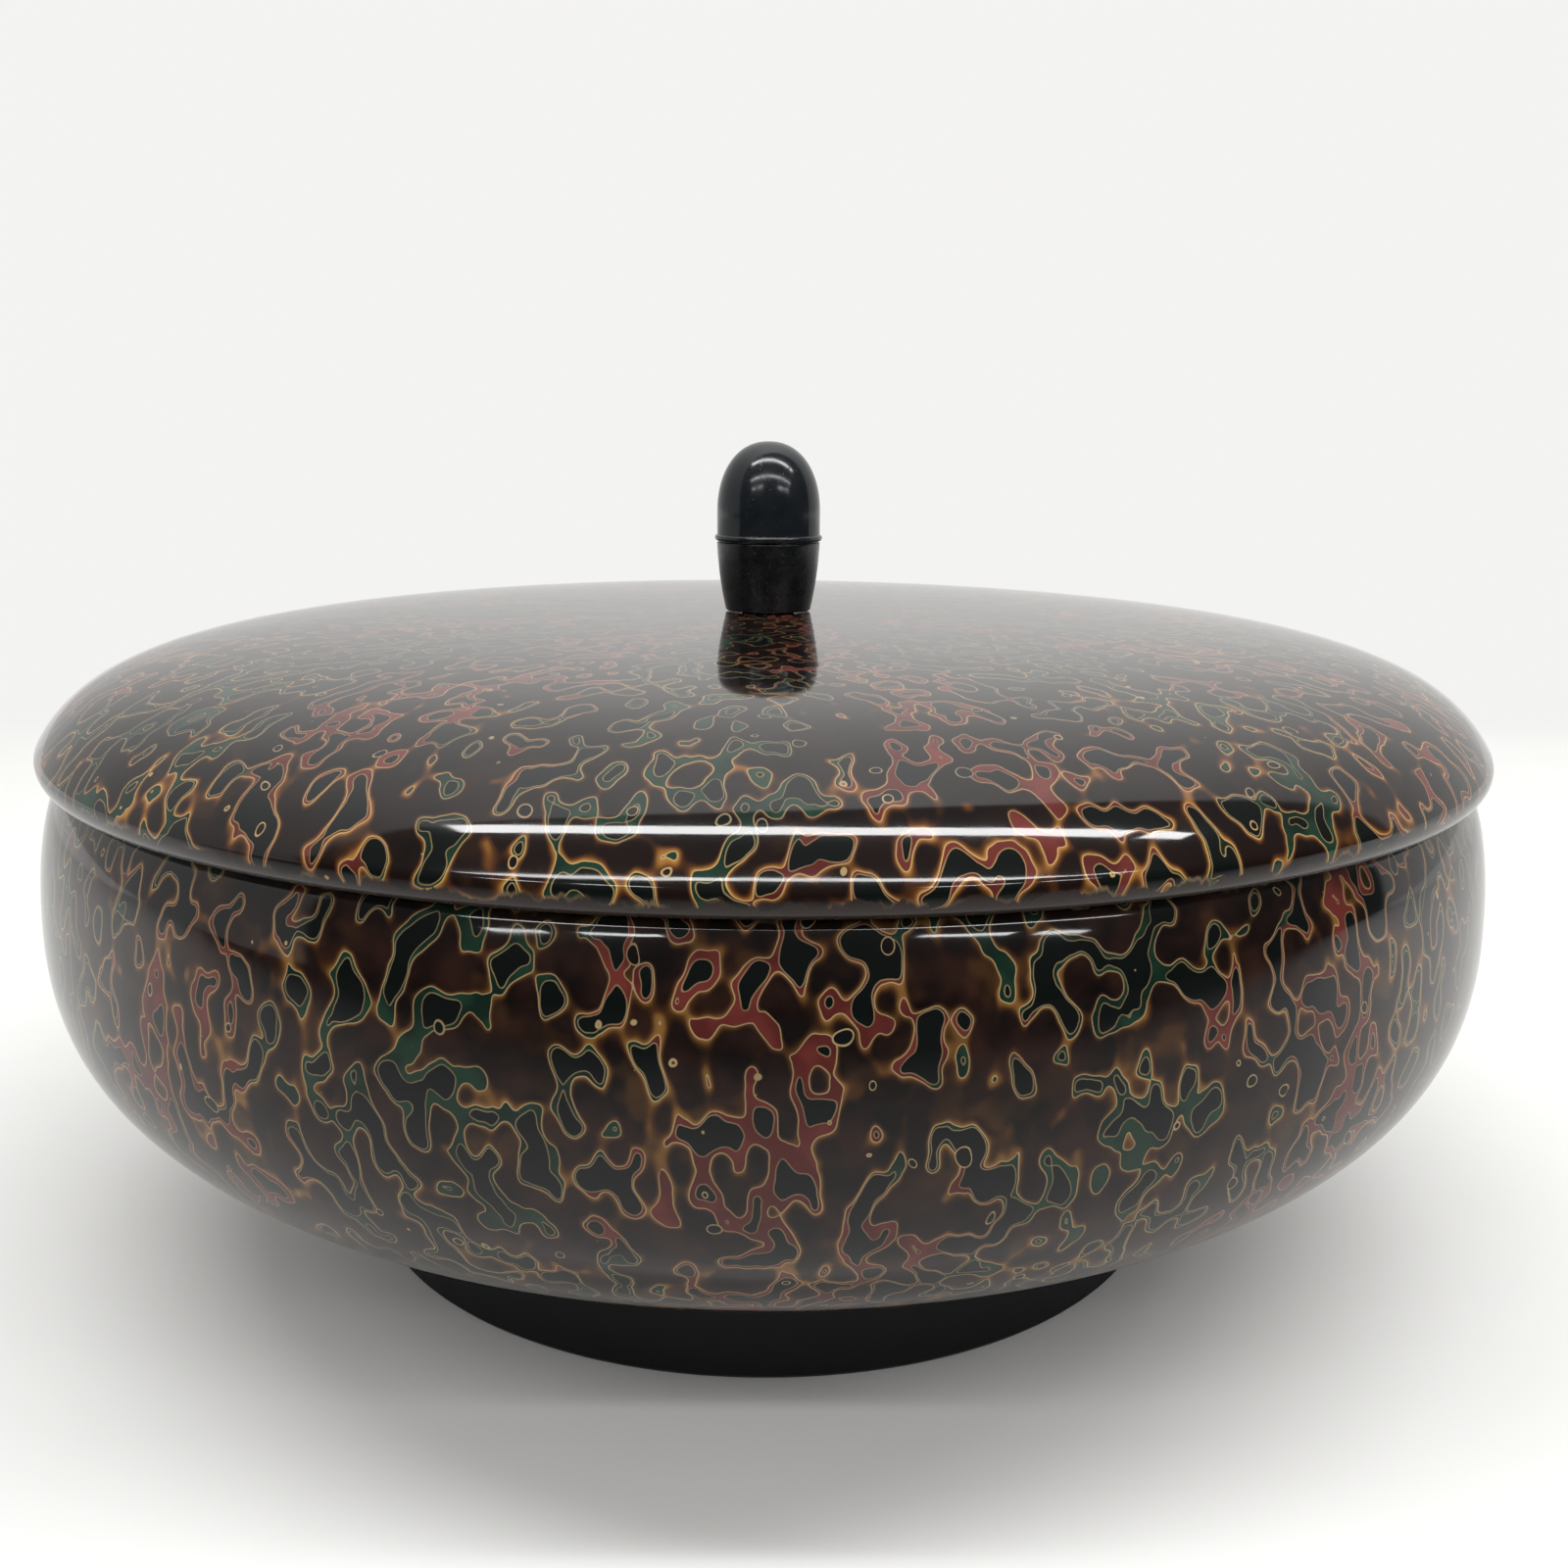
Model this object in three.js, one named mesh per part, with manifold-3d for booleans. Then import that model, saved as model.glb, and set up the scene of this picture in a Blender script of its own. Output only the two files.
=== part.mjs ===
// Lidded lacquer bowl: a low turned bowl on its own foot ring, and a flat-domed lid with a two-piece knob.
// Millimetres, +Z up. The origin is on the table at the middle of the foot. Every piece is turned about Z.
import * as THREE from "three";
import { mergeVertices } from "three/addons/utils/BufferGeometryUtils.js";
import Module from "manifold-3d";

// Fits
const GLUE_LINE = 0.2; // left between glued or clamped seats
const LID_PLAY = 0.5; // radial, between the lid's step and the bowl's mouth
const LID_SEAT_GAP = 0.2; // between the rim and the lid that rests on it
const SCREW_PLAY = 0.3; // radial, round the screw's shank

// Foot ring
const FOOT_RADIUS = 62.6; // outside, at the table
const FOOT_TAPER = 1; // how much narrower the ring is at the top
const FOOT_HEIGHT = 14.6;
const FOOT_WALL = 6; // ring width at the table
const FOOT_EDGE = 0.8; // chamfer of the two edges that stand on the table
const FOOT_RECESS = 6; // height of the bowl's bottom above the table, inside the ring

// Bowl
const JOINT_LEDGE = 0.6; // how far the bowl's underside passes the top of the foot ring
const HIP_SLOPE = 15; // degrees: rise of the underside where it leaves the foot
const HIP_FULLNESS = 0.75; // share of the way out where the underside still heads along that slope
const BELLY_RADIUS = 106.7; // widest line of the bowl
const BELLY_RISE = 40.2; // from the foot joint up to the widest line
const BELLY_FULLNESS = 0.49; // share of that rise where the wall already heads upright
const RIM_RISE = 20.6; // from the widest line up to the rim
const SHOULDER_DRAW = 3; // how far the wall draws in from the widest line to the rim
const SHOULDER_FULLNESS = 0.5; // share of the wall's rise where it still heads upright
const SHOULDER_EASE = 0.2; // share of the wall's rise where it already heads along the rim's lean
const RIM_LEAN = 24; // degrees: lean of the wall where the rim's round begins
const RIM_ROUND = 2.6; // radius of the rim's outer edge
const RIM_WALL = 6; // from the outside of the rim to the mouth
const RIM_INNER_ROUND = 1;
const RIM_LAND = 4; // straight face inside the mouth, which guides the lid's step
const BOWL_WALL = 5;
const BOWL_FLOOR = 5.6; // thickness at the middle
const FLOOR_FULLNESS = 0.4; // share of the floor's radius that each end of its curve keeps to its slope

// Lid
const LID_OVERHANG = 2.3; // past the outside of the rim
const LID_EDGE_RISE = 2.2; // from the seat up to the lid's widest line
const LID_EDGE_RADIUS = 2.9; // round of the lid's edge, which the seat cuts off below
const LID_CROWN = 16.3; // from the widest line up to the flat top
const CROWN_LEAN = 29.3; // degrees from upright: lean of the crown where it leaves the round edge
const CROWN_EASE = 0.15; // share of the lid's radius where the crown still heads along that lean
const CROWN_FLATNESS = 0.72; // share of the lid's radius where the top still heads level
const LID_WALL = 4.5;
const STEP_DEPTH = 6; // how far the lid's step reaches down into the mouth
const STEP_WALL = 3;
const STEP_EDGE = 0.8; // chamfer that leads the step into the mouth

// Knob
const STEM_FOOT_RADIUS = 6.55;
const STEM_TOP_RADIUS = 7.95;
const STEM_HEIGHT = 10.5;
const STEM_BULGE = 0.25; // how far the stem's side bows out from a straight taper
const TENON_WALL = 1.8; // round the screw's hole, where the stem enters the lid
const TENON_SHORTFALL = 0.9; // how far the tenon stops short of the lid's underside
const CAP_RADIUS = 7.95;
const CAP_SKIRT = 4.1; // straight height below the dome
const CAP_DOME = 10.9;
const CAP_BLUNTNESS = 1.1; // 1 makes the dome an ellipse, more fills out its shoulder
const BEAD_STAND = 0.35; // how far the bead round the cap's lower edge stands out
const BEAD_HEIGHT = 0.9;
const INSERT_WALL = 1;
const INSERT_LENGTH = 7;
const SCREW_RADIUS = 1.9;
const SCREW_SHORTFALL = 1; // how far the screw's tip stops short of the insert's far end
const SCREW_TIP_BEVEL = 0.8;
const SCREW_TIP_ROOM = 1.5; // left in the cap above the insert
const HEAD_RADIUS = 3.7;
const HEAD_HEIGHT = 2.3;
const HEAD_RIM = 0.8; // straight side of the head, before its dome
const RECESS_LENGTH = 4.4; // cross recess in the head
const RECESS_WIDTH = 0.9;
const RECESS_DEPTH = 1.2;
const WASHER_LAP = 1.4; // how far the washer laps over the lid round the tenon's hole
const WASHER_THICKNESS = 1;

// Facets: sides of a full turn, and steps along each curved stretch of a profile
const TURNED_SIDES = 64;
const KNOB_SIDES = 32;
const SCREW_SIDES = 24;
const UNDERSIDE_STEPS = 10;
const WALL_STEPS = 4;
const FLOOR_STEPS = 5;
const ROUND_STEPS = 4;
const CROWN_STEPS = 12;
const EDGE_STEPS = 6;
const DOME_STEPS = 9;

// Heights above the table, and radii, that follow from the sizes above
const footTopRadius = FOOT_RADIUS - FOOT_TAPER;
const footBore = FOOT_RADIUS - FOOT_WALL;
const jointRadius = footTopRadius + JOINT_LEDGE;
const jointHeight = FOOT_HEIGHT + GLUE_LINE;
const bellyHeight = jointHeight + BELLY_RISE;
const rimHeight = bellyHeight + RIM_RISE;
const rimRadius = BELLY_RADIUS - SHOULDER_DRAW;
const mouthRadius = rimRadius - RIM_WALL;
const lidRadius = rimRadius + LID_OVERHANG;
const stepRadius = mouthRadius - LID_PLAY;
const stepBore = stepRadius - STEP_WALL;
const screwBore = SCREW_RADIUS + SCREW_PLAY;
const tenonRadius = screwBore + TENON_WALL;
const lidBore = tenonRadius + GLUE_LINE;
const insertRadius = screwBore + INSERT_WALL;
const washerRadius = lidBore + WASHER_LAP;

// Height above the lid's seat, then heights above the lid's top
const crownHeight = LID_EDGE_RISE + LID_CROWN;
const stemTop = GLUE_LINE + STEM_HEIGHT;
const capFoot = stemTop + GLUE_LINE;
const insertTop = capFoot + INSERT_LENGTH;
const screwTip = insertTop - SCREW_SHORTFALL;
const washerTop = -LID_WALL - GLUE_LINE;
const washerFoot = washerTop - WASHER_THICKNESS;
const headTop = washerFoot - GLUE_LINE;

const wasm = await Module();
wasm.setup();

const point = (radius, height) => new THREE.Vector2(radius, height);

// Points along a cubic curve from a to d with handles b and c, both ends included.
function curve(a, b, c, d, steps) {
  return new THREE.CubicBezierCurve(a, b, c, d).getPoints(steps);
}

// Points along an elliptical arc, angles in degrees from the outward direction.
function arc(radius, height, reach, rise, from, to, steps) {
  const start = THREE.MathUtils.degToRad(from);
  const end = THREE.MathUtils.degToRad(to);
  return new THREE.EllipseCurve(radius, height, reach, rise, start, end).getPoints(steps);
}

// The profile moved sideways by a distance, to the left of the way it runs.
function offset(points, distance) {
  return points.map((here, i) => {
    const ahead = points[Math.min(i + 1, points.length - 1)];
    const behind = points[Math.max(i - 1, 0)];
    const way = ahead.clone().sub(behind).normalize();
    return point(here.x - way.y * distance, here.y + way.x * distance);
  });
}

// A closed solid turned about Z. The profile runs with the material on its left.
function turn(profile, sides) {
  return new THREE.LatheGeometry(profile, sides).rotateX(Math.PI / 2);
}

// A ring turned about Z: the profile returns to its first point.
function turnRing(profile, sides) {
  return turn([...profile, profile[0].clone()], sides);
}

function toSolid(geometry) {
  const bare = geometry.clone();
  bare.deleteAttribute("normal");
  bare.deleteAttribute("uv");
  const merged = mergeVertices(bare);
  return new wasm.Manifold(new wasm.Mesh({
    numProp: 3,
    vertProperties: new Float32Array(merged.attributes.position.array),
    triVerts: new Uint32Array(merged.index.array),
  }));
}

function toGeometry(solid) {
  const mesh = solid.getMesh();
  const geometry = new THREE.BufferGeometry();
  geometry.setAttribute("position", new THREE.BufferAttribute(mesh.vertProperties, mesh.numProp));
  geometry.setIndex(new THREE.BufferAttribute(mesh.triVerts, 1));
  geometry.computeVertexNormals();
  return geometry;
}

function finish(color, roughness, metalness = 0) {
  return new THREE.MeshStandardMaterial({ color, roughness, metalness });
}

function piece(name, geometry, material) {
  const mesh = new THREE.Mesh(geometry, material);
  mesh.name = name;
  return mesh;
}

// Bowl: the bottom and underside, the wall and rim, then back down the inside to the floor.
function bowl() {
  const spigotRadius = footBore - GLUE_LINE;
  const bottom = [
    point(0, FOOT_RECESS),
    point(spigotRadius, FOOT_RECESS),
    point(spigotRadius, jointHeight),
  ];
  const slope = Math.tan(THREE.MathUtils.degToRad(HIP_SLOPE));
  const joint = point(jointRadius, jointHeight);
  const belly = point(BELLY_RADIUS, bellyHeight);
  const hipReach = HIP_FULLNESS * (belly.x - joint.x);
  const hip = point(joint.x + hipReach, joint.y + hipReach * slope);
  const flank = point(belly.x, belly.y - BELLY_FULLNESS * BELLY_RISE);
  const underside = curve(joint, hip, flank, belly, UNDERSIDE_STEPS);

  const lean = THREE.MathUtils.degToRad(RIM_LEAN);
  const rimCentre = rimRadius - RIM_ROUND * Math.cos(lean);
  const rim = arc(rimCentre, rimHeight - RIM_ROUND, RIM_ROUND, RIM_ROUND, RIM_LEAN, 90, ROUND_STEPS);
  const wallRise = rim[0].y - belly.y;
  const upright = point(belly.x, belly.y + wallRise * SHOULDER_FULLNESS);
  const ease = wallRise * SHOULDER_EASE;
  const leaning = point(rim[0].x + ease * Math.tan(lean), rim[0].y - ease);
  const wall = curve(belly, upright, leaning, rim[0], WALL_STEPS);

  const mouth = arc(
    mouthRadius + RIM_INNER_ROUND, rimHeight - RIM_INNER_ROUND,
    RIM_INNER_ROUND, RIM_INNER_ROUND, 90, 180, ROUND_STEPS,
  );
  const inside = offset(underside, BOWL_WALL).reverse();
  const innerBelly = inside[0];
  const land = point(mouthRadius, rimHeight - RIM_LAND);
  const innerRise = land.y - innerBelly.y;
  const innerWall = curve(
    land,
    point((land.x + innerBelly.x) / 2, land.y - innerRise * SHOULDER_EASE),
    point(innerBelly.x, innerBelly.y + innerRise * SHOULDER_FULLNESS),
    innerBelly,
    WALL_STEPS,
  );
  const floorEdge = inside[inside.length - 1];
  const floorReach = floorEdge.x * FLOOR_FULLNESS;
  const floorHeight = FOOT_RECESS + BOWL_FLOOR;
  const floor = curve(
    floorEdge,
    point(floorEdge.x - floorReach, floorEdge.y - floorReach * slope),
    point(floorReach, floorHeight),
    point(0, floorHeight),
    FLOOR_STEPS,
  );
  return turn([
    ...bottom, ...underside, ...wall.slice(1), ...rim.slice(1),
    ...mouth, ...innerWall, ...inside.slice(1), ...floor.slice(1),
  ], TURNED_SIDES);
}

// Foot ring: a plain tapered ring that takes the bowl's spigot.
function footRing() {
  return turnRing([
    point(footBore + FOOT_EDGE, 0),
    point(FOOT_RADIUS - FOOT_EDGE, 0),
    point(FOOT_RADIUS, FOOT_EDGE),
    point(footTopRadius, FOOT_HEIGHT),
    point(footBore, FOOT_HEIGHT),
    point(footBore, FOOT_EDGE),
  ], TURNED_SIDES);
}

// Height of a profile that runs inwards, at a radius.
function heightAt(points, radius) {
  const next = points.findIndex((spot) => spot.x < radius);
  const [outer, inner] = [points[next - 1], points[next]];
  return THREE.MathUtils.mapLinear(radius, outer.x, inner.x, outer.y, inner.y);
}

// Lid, from its seat up: the step, the flange on the rim, the round edge, the crown and the hollow inside.
function lid() {
  const lip = -THREE.MathUtils.radToDeg(Math.asin(LID_EDGE_RISE / LID_EDGE_RADIUS));
  const edgeCentre = lidRadius - LID_EDGE_RADIUS;
  const edge = arc(edgeCentre, LID_EDGE_RISE, LID_EDGE_RADIUS, LID_EDGE_RADIUS, lip, CROWN_LEAN, EDGE_STEPS);
  const shoulder = edge[edge.length - 1];
  const lean = THREE.MathUtils.degToRad(CROWN_LEAN);
  const ease = lidRadius * CROWN_EASE;
  const crown = curve(
    shoulder,
    point(shoulder.x - ease * Math.sin(lean), shoulder.y + ease * Math.cos(lean)),
    point(lidRadius * CROWN_FLATNESS, crownHeight),
    point(0, crownHeight),
    CROWN_STEPS,
  );
  const underside = offset(crown, LID_WALL);
  const washerSeat = washerRadius + GLUE_LINE;
  const hollow = underside.filter((spot) => spot.x > washerSeat && spot.x < stepBore);
  return turnRing([
    point(stepBore, -STEP_DEPTH),
    point(stepRadius - STEP_EDGE, -STEP_DEPTH),
    point(stepRadius, STEP_EDGE - STEP_DEPTH),
    point(stepRadius, 0),
    ...edge,
    ...crown.slice(1, -1),
    point(lidBore, crownHeight),
    point(lidBore, crownHeight - LID_WALL),
    point(washerSeat, crownHeight - LID_WALL),
    ...hollow.reverse(),
    point(stepBore, heightAt(underside, stepBore)),
  ], TURNED_SIDES);
}

// Knob stem, from the lid's top up: a bowed taper with a tenon below and the screw's hole through it.
function knobStem() {
  const tenonFoot = TENON_SHORTFALL - LID_WALL;
  const foot = point(STEM_FOOT_RADIUS, GLUE_LINE);
  const top = point(STEM_TOP_RADIUS, stemTop);
  const bow = foot.clone().add(top).divideScalar(2).add(point(2 * STEM_BULGE, 0));
  const side = new THREE.QuadraticBezierCurve(foot, bow, top).getPoints(DOME_STEPS);
  return turnRing([
    point(screwBore, tenonFoot),
    point(tenonRadius, tenonFoot),
    point(tenonRadius, GLUE_LINE),
    ...side,
    point(screwBore, stemTop),
  ], KNOB_SIDES);
}

// Knob cap, from the lid's top up: a bead, a short skirt and a dome, with a blind hole for the insert.
function knobCap() {
  const holeRadius = insertRadius + GLUE_LINE;
  const holeTop = insertTop + SCREW_TIP_ROOM;
  const bead = arc(CAP_RADIUS, capFoot + BEAD_HEIGHT / 2, BEAD_STAND, BEAD_HEIGHT / 2, -90, 90, ROUND_STEPS);
  const quarter = arc(0, 0, 1, 1, 0, 90, DOME_STEPS).slice(0, -1);
  const dome = quarter.map(({ x, y }) => point(
    CAP_RADIUS * x ** (1 / CAP_BLUNTNESS),
    capFoot + CAP_SKIRT + CAP_DOME * y ** (1 / CAP_BLUNTNESS),
  ));
  return turn([
    point(0, holeTop),
    point(holeRadius, holeTop),
    point(holeRadius, capFoot),
    ...bead,
    ...dome,
    point(0, capFoot + CAP_SKIRT + CAP_DOME),
  ], KNOB_SIDES);
}

// Threaded insert in the cap, as a plain sleeve.
function knobInsert() {
  return turnRing([
    point(screwBore, capFoot),
    point(insertRadius, capFoot),
    point(insertRadius, insertTop),
    point(screwBore, insertTop),
  ], SCREW_SIDES);
}

// Pan-head screw, head down, with a cross recess.
function knobScrew() {
  const headFoot = headTop - HEAD_HEIGHT;
  const dome = arc(0, headTop - HEAD_RIM, HEAD_RADIUS, HEAD_HEIGHT - HEAD_RIM, -90, 0, ROUND_STEPS).slice(1);
  const blank = toSolid(turn([
    point(0, headFoot),
    ...dome,
    point(HEAD_RADIUS, headTop),
    point(SCREW_RADIUS, headTop),
    point(SCREW_RADIUS, screwTip - SCREW_TIP_BEVEL),
    point(SCREW_RADIUS - SCREW_TIP_BEVEL, screwTip),
    point(0, screwTip),
  ], SCREW_SIDES));
  const [slot, crossSlot] = [0, Math.PI / 2].map((angle) => {
    const box = new THREE.BoxGeometry(RECESS_LENGTH, RECESS_WIDTH, 2 * RECESS_DEPTH);
    return toSolid(box.rotateZ(angle).translate(0, 0, headFoot));
  });
  return toGeometry(blank.subtract(slot.add(crossSlot)));
}

function knobWasher() {
  return turnRing([
    point(screwBore, washerFoot),
    point(washerRadius, washerFoot),
    point(washerRadius, washerTop),
    point(screwBore, washerTop),
  ], SCREW_SIDES);
}

const mottledLacquer = finish(0x3a2620, 0.08);
const blackGloss = finish(0x0c0d0f, 0.12);
const blackSatin = finish(0x101113, 0.45);
const brass = finish(0xb08a45, 0.35, 1);
const steel = finish(0x9a9c9e, 0.3, 1);

// The knob stands on the lid's top, the lid on the rim, and the bowl on the foot ring.
const knob = new THREE.Group();
knob.position.z = crownHeight;
knob.add(
  piece("knob_stem", knobStem(), blackGloss),
  piece("knob_cap", knobCap(), blackGloss),
  piece("knob_insert", knobInsert(), brass),
  piece("knob_screw", knobScrew(), steel),
  piece("knob_washer", knobWasher(), steel),
);

const cover = new THREE.Group();
cover.position.z = rimHeight + LID_SEAT_GAP;
cover.add(piece("lid", lid(), mottledLacquer), knob);

const lacquerBowl = new THREE.Group();
lacquerBowl.add(
  piece("bowl", bowl(), mottledLacquer),
  piece("foot_ring", footRing(), blackSatin),
  cover,
);

export default lacquerBowl;
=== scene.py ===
"""Looks of a lidded lacquer bowl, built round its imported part.

The bowl, its foot ring, the lid and the two-piece knob are turned about Z from their half outlines, as the
real ones are turned on a lathe. Sizes of pieces and finishes are millimetres. The meshes, the camera, the
lamps and the table are metres in the part's frame.
"""

import logging
import math
from collections.abc import Sequence
from dataclasses import dataclass, field
from enum import Enum
from functools import cache, cached_property

import bpy
from bpy.types import Material, Node, NodeSocket, NodeTree, Object
from mathutils import Matrix, Vector

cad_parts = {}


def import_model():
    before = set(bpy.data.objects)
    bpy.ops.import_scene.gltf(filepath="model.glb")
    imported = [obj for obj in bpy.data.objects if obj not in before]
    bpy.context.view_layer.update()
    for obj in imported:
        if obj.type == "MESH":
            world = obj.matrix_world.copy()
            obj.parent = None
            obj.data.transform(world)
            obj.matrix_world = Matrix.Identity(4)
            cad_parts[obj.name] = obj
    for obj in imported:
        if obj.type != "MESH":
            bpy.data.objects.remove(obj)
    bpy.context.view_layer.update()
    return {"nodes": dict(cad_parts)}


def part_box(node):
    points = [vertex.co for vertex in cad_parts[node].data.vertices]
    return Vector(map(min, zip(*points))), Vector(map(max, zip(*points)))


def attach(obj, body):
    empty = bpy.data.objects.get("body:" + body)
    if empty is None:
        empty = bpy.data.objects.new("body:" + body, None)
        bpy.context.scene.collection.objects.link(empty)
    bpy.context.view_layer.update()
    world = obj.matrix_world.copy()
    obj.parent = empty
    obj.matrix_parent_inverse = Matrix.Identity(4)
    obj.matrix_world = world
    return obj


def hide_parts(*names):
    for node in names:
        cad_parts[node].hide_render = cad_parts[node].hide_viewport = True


LOG = logging.getLogger("lacquer_bowl")
MM = 0.001

Point = tuple[float, float]
Span = tuple[float, float]
Triple = tuple[float, float, float]


class Zone(Enum):
    """Parts of a turned piece's surface that take different finishes."""

    OUTSIDE = 0
    INSIDE = 1
    UNDERSIDE = 2


class Body(Enum):
    """Bodies of the part that pieces ride on."""

    BOWL = "bowl_body"
    LID = "lid_body"


class Slot(Enum):
    """Material slots of the part's record."""

    MOTTLED = "mottled_lacquer"
    SATIN = "black_satin_lacquer"
    GLOSS = "black_gloss"
    BRASS = "brass"
    STEEL = "steel"


# Outlines


def bezier(a: Point, b: Point, c: Point, d: Point, steps: int) -> list[Point]:
    """Points along a cubic curve.

    Args:
        a: start.
        b: handle of the start.
        c: handle of the end.
        d: end.
        steps: stretches between the points.

    Returns:
        The points, both ends included.
    """
    points = []
    for i in range(steps + 1):
        t = i / steps
        u = 1 - t
        weights = (u**3, 3 * u * u * t, 3 * u * t * t, t**3)
        points.append(tuple(sum(w * p[k] for w, p in zip(weights, (a, b, c, d))) for k in (0, 1)))
    return points


def arc(centre: Point, reach: float, rise: float, start: float, end: float, steps: int) -> list[Point]:
    """Points along an elliptical arc.

    Args:
        centre: radius and height of the centre.
        reach: half axis outwards.
        rise: half axis upwards.
        start: first angle in degrees from the outward direction.
        end: last angle.
        steps: stretches between the points.

    Returns:
        The points, both ends included.
    """
    angles = [math.radians(start + (end - start) * i / steps) for i in range(steps + 1)]
    return [(centre[0] + reach * math.cos(t), centre[1] + rise * math.sin(t)) for t in angles]


def offset(points: Sequence[Point], distance: float) -> list[Point]:
    """An outline moved sideways, to the left of the way it runs.

    Args:
        points: the outline.
        distance: how far it moves.

    Returns:
        The moved points.
    """
    moved = []
    for i, here in enumerate(points):
        ahead = Vector(points[min(i + 1, len(points) - 1)])
        way = (ahead - Vector(points[max(i - 1, 0)])).normalized()
        moved.append((here[0] - way.y * distance, here[1] + way.x * distance))
    return moved


@dataclass
class Outline:
    """Half outline of a turned piece: radii and heights, with the zone of the stretch after each point."""

    CORNER = math.radians(24)  # sharper turns are eased
    LONGEST_CUT = 0.4  # share of a stretch that a round may take

    points: list[Point] = field(default_factory=list)
    zones: list[Zone] = field(default_factory=list)

    def run(self, points: Sequence[Point], zone: Zone = Zone.OUTSIDE) -> "Outline":
        """Goes on along more points.

        Args:
            points: the next points; the material lies on the left of their way.
            zone: the zone of the stretches that start at them.

        Returns:
            This outline.
        """
        self.points.extend(points)
        self.zones.extend([zone] * len(points))
        return self

    def eased(self, radius: float, closed: bool, steps: int = 3) -> "Outline":
        """The outline with a small round at each corner, so that edges catch the light.

        Args:
            radius: radius of the rounds.
            closed: whether the last point leads back to the first.
            steps: stretches in each round.

        Returns:
            A new outline; a closed one ends on its first point.
        """
        made = Outline()
        count = len(self.points)
        for i, (spot, zone) in enumerate(zip(self.points, self.zones)):
            here = Vector(spot)
            at_end = not closed and i in (0, count - 1)
            back = Vector(self.points[i - 1]) - here
            on = Vector(self.points[(i + 1) % count]) - here
            turn = 0.0 if at_end else math.pi - back.angle(on)
            if turn < self.CORNER:
                made.run([spot], zone)
                continue
            longest = self.LONGEST_CUT * min(back.length, on.length)
            cut = min(radius * math.tan(turn / 2), longest)
            start, end = here + back.normalized() * cut, here + on.normalized() * cut
            for k in range(steps + 1):
                t = k / steps
                made.run([tuple(start * (1 - t) ** 2 + here * 2 * t * (1 - t) + end * t * t)], zone)
        if closed:
            made.run([made.points[0]], made.zones[0])
        return made


# Node trees


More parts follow.
